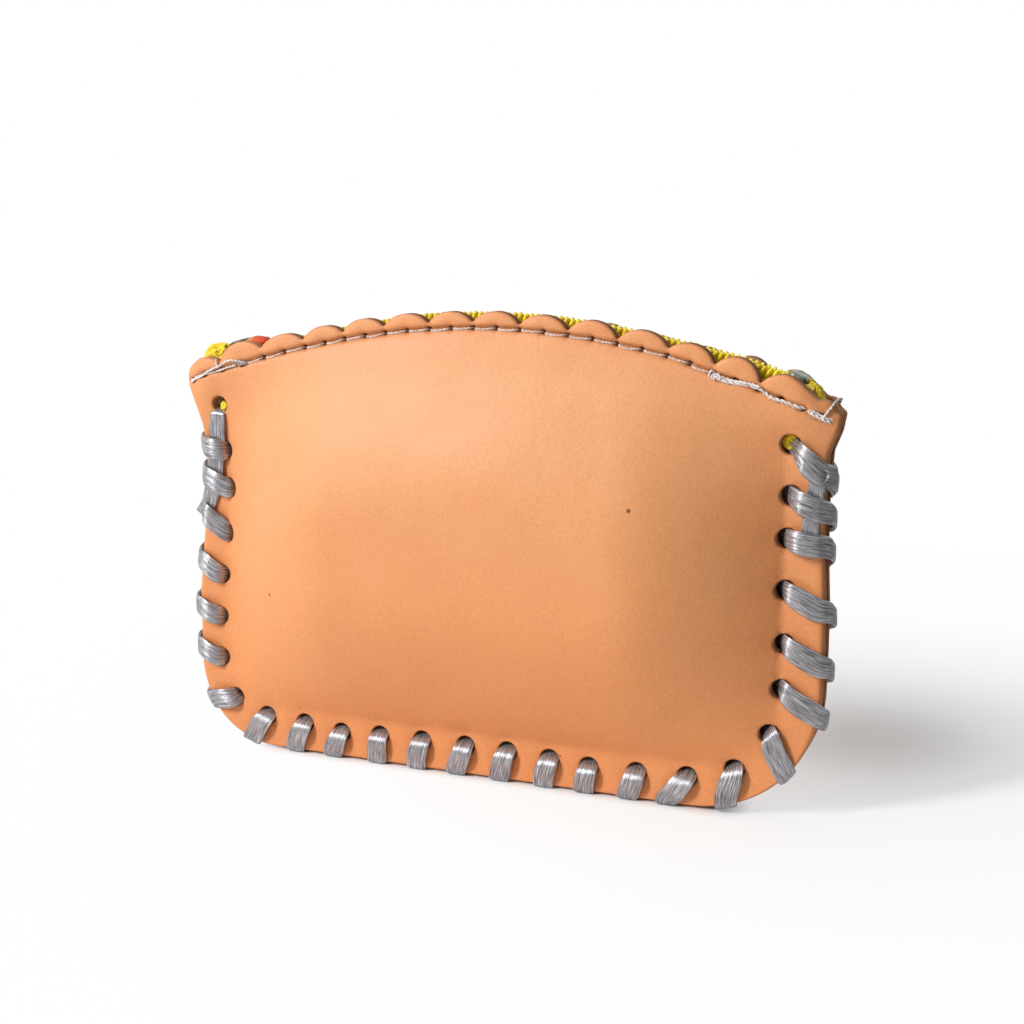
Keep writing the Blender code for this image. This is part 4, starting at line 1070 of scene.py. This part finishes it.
def zip_tape(name, side, material, replaces):
    """A woven tape: flat beside the teeth, folded down along the leather's inner face, and
    bunched up where its end is folded over and tucked in."""
    rows = []
    for angle in np.linspace(TAPE_LEFT, TAPE_RIGHT, 300):
        x = math.sin(angle) * ARC_RADIUS
        room = float(half_gap(*on_arc(angle, TAPE_TOP))) - 0.25
        left_end = float(smooth((-43.4 - x) / 1.0))
        right_end = float(smooth((x - 43.7) / 1.2))
        crumple = 0.35 * noise.noise(Vector((x * 0.8, side * 1.7, 0.3)))
        crumple = crumple + 0.2 * noise.noise(Vector((x * 2.2, side, 4.0)))
        near = 0.42 * (1 - max(left_end, right_end)) + 0.06
        fold = left_end * 3.2 * float(smooth((x + 48.0) / 1.6)) + right_end * 1.5
        top = TAPE_TOP - zip_sag(x) + fold + max(left_end, right_end) * crumple
        section = [(near, top - 0.05), ((near + room) / 2, top + 0.05 + 0.25 * left_end),
                   (room - 0.2, top - 0.1)]
        # Cut away at the ends, above the top lace holes
        depth = 9.2 if abs(x) < 43.8 else 7.3 if abs(x) < 45.4 else 5.6
        for down in np.linspace(3.4, depth, 14):
            radius = ARC_RADIUS - down
            ripple = 0.05 * noise.noise(Vector((x * 0.5, down * 0.5, side)))
            section.append((float(half_gap(*on_arc(angle, radius))) - 0.25 + ripple, radius))
        inner = [(max(y - TAPE_THICK, 0.05), radius) for y, radius in section[:2:-1]]
        inner += [(max(room - 0.25 - TAPE_THICK, 0.2), top - TAPE_THICK - 0.1),
                  (near, top - TAPE_THICK)]
        rows.append([on_zip(angle, radius, side * y) for y, radius in section + inner])
    vertices, faces = slab(rows)
    if side == FRONT:
        faces = [f[::-1] for f in faces]
    tape = make_piece(name, vertices, faces, [material], slot="yellow_zip_cloth", replaces=replaces)
    tape.data.set_sharp_from_angle(angle=math.radians(50))


def zip_coil(name, side, material, replaces):
    """A row of teeth as it is made: one nylon wire wound into a flattened spiral."""
    turns = round((COIL_RIGHT - COIL_LEFT) * ARC_RADIUS / COIL_PITCH)
    reach_y = (COIL_FAR - COIL_NEAR) / 2 - COIL_WIRE
    reach_r = (COIL_HIGH - COIL_LOW) / 2 - COIL_WIRE
    points = []
    for k in range(turns * COIL_STEPS + 1):
        turn = 2 * math.pi * k / COIL_STEPS
        angle = COIL_LEFT + (COIL_RIGHT - COIL_LEFT) * k / (turns * COIL_STEPS)
        loose = 1 + 0.25 * noise.noise(Vector((k / COIL_STEPS * 0.9, side * 3, 1.0)))
        aside, up = (math.copysign(abs(v)**0.7, v) for v in (math.cos(turn), math.sin(turn)))
        y = (COIL_NEAR + COIL_FAR) / 2 + reach_y * loose * aside
        sag = zip_sag(math.sin(angle) * ARC_RADIUS)
        radius = (COIL_LOW + COIL_HIGH) / 2 - sag + reach_r * loose * up
        points.append(on_zip(angle, radius, side * y))
    make_piece(name, *tube(points, COIL_WIRE, 8), [material], slot="yellow_zip_teeth",
               replaces=replaces)


def end_knots(material):
    """The bunched tape at both ends: woven folds that stand up in front of the slider, and
    between the bottom stop and the corner."""
    parts = []
    for side in (FRONT, BACK):
        for profile, low in ((LEFT_BUNCH, LEFT_BUNCH_LOW), (RIGHT_BUNCH, RIGHT_BUNCH_LOW)):
            places, tops = np.array(profile).T
            for layer in range(BUNCH_LAYERS):
                line = []
                for share in np.linspace(0, 1, 30):
                    x = places[0] + (places[-1] - places[0]) * share
                    angle = arc_angle(x)
                    room = max(float(half_gap(*on_arc(angle, ARC_RADIUS - 2))) - 0.5, 0.5)
                    high = float(np.interp(x, places, tops))
                    radius = ARC_RADIUS + low + (high - low) * (layer + 1) / BUNCH_LAYERS
                    jitter = 0.3 * noise.noise(Vector((share * 7.3, layer * 2.1, side + places[0])))
                    y = side * min(0.25 + (room - 0.25) * (1 - layer / BUNCH_LAYERS), room)
                    line.append(on_zip(angle, radius + jitter - 0.25, y + 0.5 * jitter))
                parts.append(tube(line, 0.4, 8))
    for x, y, z, size in TAPE_IN_HOLES:
        turns = np.linspace(0, 2 * math.pi * 3.5, 60)
        swirl = [(x + size * 0.62 * (1 - t / 30) * math.cos(t), y - 0.15 * math.sin(1.7 * t),
                  z + size * 0.62 * (1 - t / 30) * math.sin(t)) for t in turns]
        parts.append(tube(swirl, 0.33, 7))
    make_piece("folded_tape_ends", *together(parts), [material], slot="yellow_zip_cloth")


def slab(sections):
    """A closed block through sections of corners."""
    vertices = [corner for section in sections for corner in section]
    return vertices, ring_faces(len(sections), len(sections[0]))


def whole_turn(steps):
    """The cosine and sine of steps all the way round."""
    return [(math.cos(t), math.sin(t)) for t in np.linspace(0, 2 * math.pi, steps, endpoint=False)]


def rounded_box(angles, half_widths, low, high, corner):
    """A plate along the zip with rounded long edges: half its width at each of its angles."""
    middle, flat = (low + high) / 2, (high - low) / 2 - corner
    sections = []
    for angle, half in zip(angles, half_widths):
        section = []
        for c, s in whole_turn(20):
            y = (half - corner) * np.sign(c) * min(1, abs(c) * 4) + corner * c
            r = middle + flat * np.sign(s) * min(1, abs(s) * 4) + corner * s
            section.append(on_zip(angle, r, y))
        sections.append(section)
    return slab(sections)


def flat_bar(points, half, thick):
    """A flat bar with rounded sides that follows a line in the zip's own plane."""
    points = np.asarray(points)
    ahead = unit(np.gradient(points, axis=0))
    across = np.array((0.0, 1.0, 0.0))
    sections = []
    for point, direction in zip(points, ahead):
        up = np.cross(direction, across)
        sections.append([point + across * half * np.sign(c) * abs(c)**0.4
                         + up * thick * np.sign(s) * abs(s)**0.6 for c, s in whole_turn(14)])
    return slab(sections)


def zip_slider(material):
    """The stamped slider: a shield-shaped plate over the teeth, a lip down each side, a keel
    below, and the bridge that holds the tab."""
    shares = np.linspace(-1, 1, 19)
    angles = SLIDER_MIDDLE + SLIDER_HALF * shares
    # Wide where it parts the teeth, at the left, and narrow behind
    taper = SLIDER_WIDE - SLIDER_NARROWER * smooth((shares + 0.1) / 1.0)
    ends = np.sqrt(np.clip(1 - np.abs(shares)**6, 0.02, 1))
    plate_low, plate_high = ARC_RADIUS - 0.08, ARC_RADIUS + 0.3
    parts = [rounded_box(angles, taper * ends, plate_low, plate_high, 0.14)]
    for side in (FRONT, BACK):
        lip = []
        for angle, half, end in zip(angles[1:-1], taper[1:-1], ends[1:-1]):
            outer, thick = side * half * end, side * 0.26
            low = plate_low - 1.2 * float(smooth(end * 1.4 - 0.3))
            lip.append([on_zip(angle, plate_high - 0.1, outer), on_zip(angle, low, outer),
                        on_zip(angle, low - 0.06, outer - thick / 2),
                        on_zip(angle, low, outer - thick),
                        on_zip(angle, plate_high - 0.1, outer - thick)])
        vertices, faces = slab(lip)
        parts.append((vertices, faces if side == BACK else [f[::-1] for f in faces]))
    keel_high = ARC_RADIUS - 3.0
    parts.append(rounded_box(angles[2:-2], 1.15 * ends[2:-2], keel_high - 0.45, keel_high, 0.14))
    post = np.linspace(SLIDER_MIDDLE - SLIDER_HALF * 0.9, SLIDER_MIDDLE - SLIDER_HALF * 0.2, 5)
    parts.append(rounded_box(post, [0.12, 0.2, 0.2, 0.2, 0.12], keel_high - 0.1, plate_low + 0.1,
                             0.05))
    bow = [on_zip(SLIDER_MIDDLE + along / ARC_RADIUS, ARC_RADIUS + height, 0.0)
           for along, height in BRIDGE]
    parts.append(flat_bar(even_line(rounded_path(bow, 0.1, 0.3), 0.15), 0.45, 0.17))
    piece = make_piece("stamped_slider", *together(parts), [material], body="slider",
                       slot="slider_metal", replaces=["zip_slider"])
    piece.data.set_sharp_from_angle(angle=math.radians(40))


def bottom_stop(material):
    """The stamped stop clamped over the last teeth, with its two ends rounded off."""
    angles = np.linspace(STOP_LEFT, STOP_RIGHT, 11)
    low, high = TAPE_TOP + 0.25, ARC_RADIUS + 0.42
    sections = []
    for angle, end in zip(angles, [0.72, 0.93] + [1] * 7 + [0.93, 0.72]):
        half = STOP_HALF * end
        section = []
        for c, s in whole_turn(24):
            r = (low + high) / 2 + (high - low) / 2 * (half / STOP_HALF) * np.sign(s) * abs(s)**0.5
            section.append(on_zip(angle, r, half * np.sign(c) * abs(c)**0.5))
        sections.append(section)
    make_piece("clamped_bottom_stop", *slab(sections), [material], slot="zip_stop_metal",
               replaces=["zip_bottom_stop"])


def pull_tab(material):
    """A scrap of dyed leather looped through the bridge: its two legs lie on each other, and
    it has curled down over the slider's end like a small leaf."""
    around = [(1, -1 + k / 7) for k in range(15)] + [(-1, 1 - k / 7) for k in range(1, 14)]
    sections = []
    for share in np.linspace(0, 1, 29):
        angle = SLIDER_MIDDLE + (0.1 + TAB_LENGTH * share) / ARC_RADIUS
        half = 0.42 + 1.35 * float(smooth((share - 0.12) / 0.38))
        half = half * math.sqrt(max(1 - (max(share - 0.6, 0) / 0.41)**2, 0.02))
        # Its spine leaves the bridge level, rises a little, and droops to the tip
        spine = 0.55 + 0.2 * math.sin(math.pi * min(share / 0.8, 1))
        spine = spine - 0.55 * max(share - 0.55, 0)**1.5 / 0.3
        thick = 0.2 + 0.1 * float(smooth(share / 0.3))
        section = []
        for face, u in around:
            curl = TAB_CURL * float(smooth((share - 0.1) / 0.35)) * abs(u)**1.8
            radius = ARC_RADIUS + spine + face * thick * (1 - u**6)**0.5 - curl
            section.append(on_zip(angle, radius, half * u))
        sections.append(section)
    make_piece("leather_pull_tab", *slab(sections), [material], body="pull",
               slot="orange_tab_leather", replaces=["pull_tab"])


tape_cloth, coil_nylon = woven_zip_tape(), nylon_coil()
zip_tape("woven_tape_front", FRONT, tape_cloth, ["zip_tape_front"])
zip_tape("woven_tape_back", BACK, tape_cloth, ["zip_tape_back"])
zip_coil("nylon_coil_front", FRONT, coil_nylon, ["zip_coil_front"])
zip_coil("nylon_coil_back", BACK, coil_nylon, ["zip_coil_back"])
end_knots(tape_cloth)
zip_slider(worn_metal("worn_slider_metal", "#5C5C55", "#9C9D95", 0.4))
bottom_stop(worn_metal("dull_stop_metal", "#6E7064", "#A9AB9C", 0.42))
pull_tab(dyed_leather())


# ---------------------------------------------------------------- studio

# The floor, and the shadow that it keeps: how its own tone gives way to plain white, by the
# distance from the shadow's middle as a share of FADE_REACH, all in metres. This white, seen only
# by the camera, is painted light that lightens the shadow away from its middle.
FLOOR_REACH = 4.0
FADE_MIDDLE, FADE_REACH = (0.05, 0.038, 0.0), 0.16
FLOOR_FADE = ((0.03, 0.03), (0.075, 0.16), (0.125, 0.37), (0.2, 0.56), (0.32, 0.74), (0.5, 0.92),
              (1.0, 1.0))
# The strip that the purse darkens under itself, as (axis, where it begins to fade, where it
# ends), in millimetres from the middle
DARK_STRIP = (("X", 34, 39), ("Y", 2.2, 4.5))
# The side that the surroundings are pale on, and how strong they are there and opposite
PALE_SIDE = (-0.62, 0.25, 0.74)
FILL_PALE, FILL_DARK = 0.75, 0.06
# The soft lamp, in metres and watts, and the place that it lights
LAMP_PLACE, LAMP_SIZE, LAMP_POWER = (-0.61, -0.73, 0.64), (0.18, 0.42), 10.0
LAMP_AIM = (0, 0, 0.035)
# The photograph's viewpoint, fitted to the outline: its direction in degrees, the point that it
# looks at and its distance in millimetres, and a lens for a 36 mm sensor
VIEW_AZIMUTH, VIEW_ELEVATION = 21.847, 10.872
VIEW_AIM, VIEW_DISTANCE = (3.141, 0.0, 40.06), 219.589
SENSOR, LENS = 36.0, 53.672


def lay_floor():
    """A wide pale floor that takes the purse's shadow, and fades to plain white further off: a
    painted lightening of the shadow away from its middle.
    """
    material, tree = new_material("white_studio_floor")
    place = add(tree, "ShaderNodeTexCoord").outputs["Object"]
    # The fade is painted light: it lightens the shadow away from its middle
    off = add(tree, "ShaderNodeVectorMath", {0: place, 1: FADE_MIDDLE}, operation="DISTANCE")
    reached = add(tree, "ShaderNodeMath", {0: off.outputs["Value"], 1: FADE_REACH},
                  operation="DIVIDE")
    faded = add(tree, "ShaderNodeValToRGB", {"Fac": reached},
                stops=[(share, grey(white)) for share, white in FLOOR_FADE])
    where = add(tree, "ShaderNodeSeparateXYZ", {"Vector": place})
    shaded = []
    for axis, near, far in DARK_STRIP:
        aside = add(tree, "ShaderNodeMath", {0: where.outputs[axis]}, operation="ABSOLUTE")
        inside = add(tree, "ShaderNodeMapRange", {"Value": aside, "From Min": near * MM,
                                                  "From Max": far * MM, "To Min": 1.0, "To Max": 0.0})
        shaded.append(inside)
    under = add(tree, "ShaderNodeMath", {0: shaded[0], 1: shaded[1]}, operation="MULTIPLY")
    clear = add(tree, "ShaderNodeMath", {0: 1.0, 1: under}, operation="SUBTRACT")
    lifted = add(tree, "ShaderNodeMath", {0: faded, 1: clear}, operation="MULTIPLY")
    rays = add(tree, "ShaderNodeLightPath")
    seen = add(tree, "ShaderNodeMath", {0: rays.outputs["Is Camera Ray"], 1: lifted},
               operation="MULTIPLY")
    # What the floor throws back at the purse is held down, as a dark card at its right would
    card = add(tree, "ShaderNodeMapRange", {"Value": where.outputs["X"], "From Min": 0.055,
                                            "From Max": 0.13, "To Min": 0.9, "To Max": 0.15})
    tone = add(tree, "ShaderNodeMixRGB", {"Fac": rays.outputs["Is Camera Ray"], "Color1": card,
                                          "Color2": grey(0.93)})
    paint = add(tree, "ShaderNodeBsdfDiffuse", {"Color": tone})
    white = add(tree, "ShaderNodeEmission", {"Color": grey(1.0), "Strength": 1.0})
    mixed = add(tree, "ShaderNodeMixShader", {0: seen, 1: paint, 2: white})
    add(tree, "ShaderNodeOutputMaterial", {"Surface": mixed})
    mesh = bpy.data.meshes.new("floor")
    corners = [(x * FLOOR_REACH, y * FLOOR_REACH, 0)
               for x, y in ((-1, -1), (1, -1), (1, 1), (-1, 1))]
    mesh.from_pydata(corners, [], [(0, 1, 2, 3)])
    mesh.materials.append(material)
    floor = bpy.data.objects.new("floor", mesh)
    bpy.context.collection.objects.link(floor)


def light_studio():
    """One large soft lamp low at the left, and surroundings that are pale at the left, above and
    behind the purse, and dark at its right; the camera itself sees plain white."""
    world = bpy.data.worlds.new("studio")
    bpy.context.scene.world = world
    world.use_nodes = True
    tree = world.node_tree
    tree.nodes.clear()
    toward = add(tree, "ShaderNodeTexCoord").outputs["Generated"]
    facing = add(tree, "ShaderNodeVectorMath", {0: toward, 1: PALE_SIDE}, operation="DOT_PRODUCT")
    around = add(tree, "ShaderNodeMapRange", {
        "Value": facing.outputs["Value"], "From Min": -0.5, "From Max": 0.9,
        "To Min": FILL_DARK, "To Max": FILL_PALE})
    # Metal mirrors a white backdrop that stands behind the purse
    rays = add(tree, "ShaderNodeLightPath")
    shown = add(tree, "ShaderNodeMath", operation="MAXIMUM", sockets={
        0: rays.outputs["Is Glossy Ray"], 1: rays.outputs["Is Transmission Ray"]})
    behind = add(tree, "ShaderNodeSeparateXYZ", {"Vector": toward})
    backdrop = add(tree, "ShaderNodeMapRange", {"Value": behind.outputs["Y"], "From Min": -0.2,
                                                "From Max": 0.35, "To Min": 0.0, "To Max": 1.0})
    mirrored = add(tree, "ShaderNodeMath", {0: shown, 1: backdrop}, operation="MULTIPLY")
    white = add(tree, "ShaderNodeMath", {0: rays.outputs["Is Camera Ray"], 1: mirrored},
                operation="MAXIMUM")
    strength = add(tree, "ShaderNodeMix", {0: white, 2: around, 3: 1.0})
    sky = add(tree, "ShaderNodeBackground", {"Color": grey(1.0), "Strength": strength})
    add(tree, "ShaderNodeOutputWorld", {"Surface": sky})
    lamp = bpy.data.lights.new("key", "AREA")
    lamp.shape, lamp.energy = "RECTANGLE", LAMP_POWER
    lamp.size, lamp.size_y = LAMP_SIZE
    holder = bpy.data.objects.new("key", lamp)
    holder.location = LAMP_PLACE
    holder.rotation_mode = "QUATERNION"
    holder.rotation_quaternion = (Vector(LAMP_PLACE) - Vector(LAMP_AIM)).to_track_quat("Z", "Y")
    bpy.context.collection.objects.link(holder)


def place_camera():
    """The photograph's viewpoint: a little from the right and from above, 22 cm away."""
    azimuth, elevation = math.radians(VIEW_AZIMUTH), math.radians(VIEW_ELEVATION)
    back = Vector((math.sin(azimuth) * math.cos(elevation), -math.cos(azimuth) * math.cos(elevation),
                   math.sin(elevation)))
    camera = bpy.data.objects.new("camera", bpy.data.cameras.new("camera"))
    camera.data.sensor_width = SENSOR
    camera.data.lens = LENS
    camera.data.clip_start, camera.data.clip_end = 0.01, 50.0
    camera.location = (Vector(VIEW_AIM) + back * VIEW_DISTANCE) * MM
    camera.rotation_mode = "QUATERNION"
    camera.rotation_quaternion = back.to_track_quat("Z", "Y")
    bpy.context.collection.objects.link(camera)
    bpy.context.scene.camera = camera


lay_floor()
light_studio()
place_camera()
bpy.context.scene.view_settings.view_transform = "Standard"
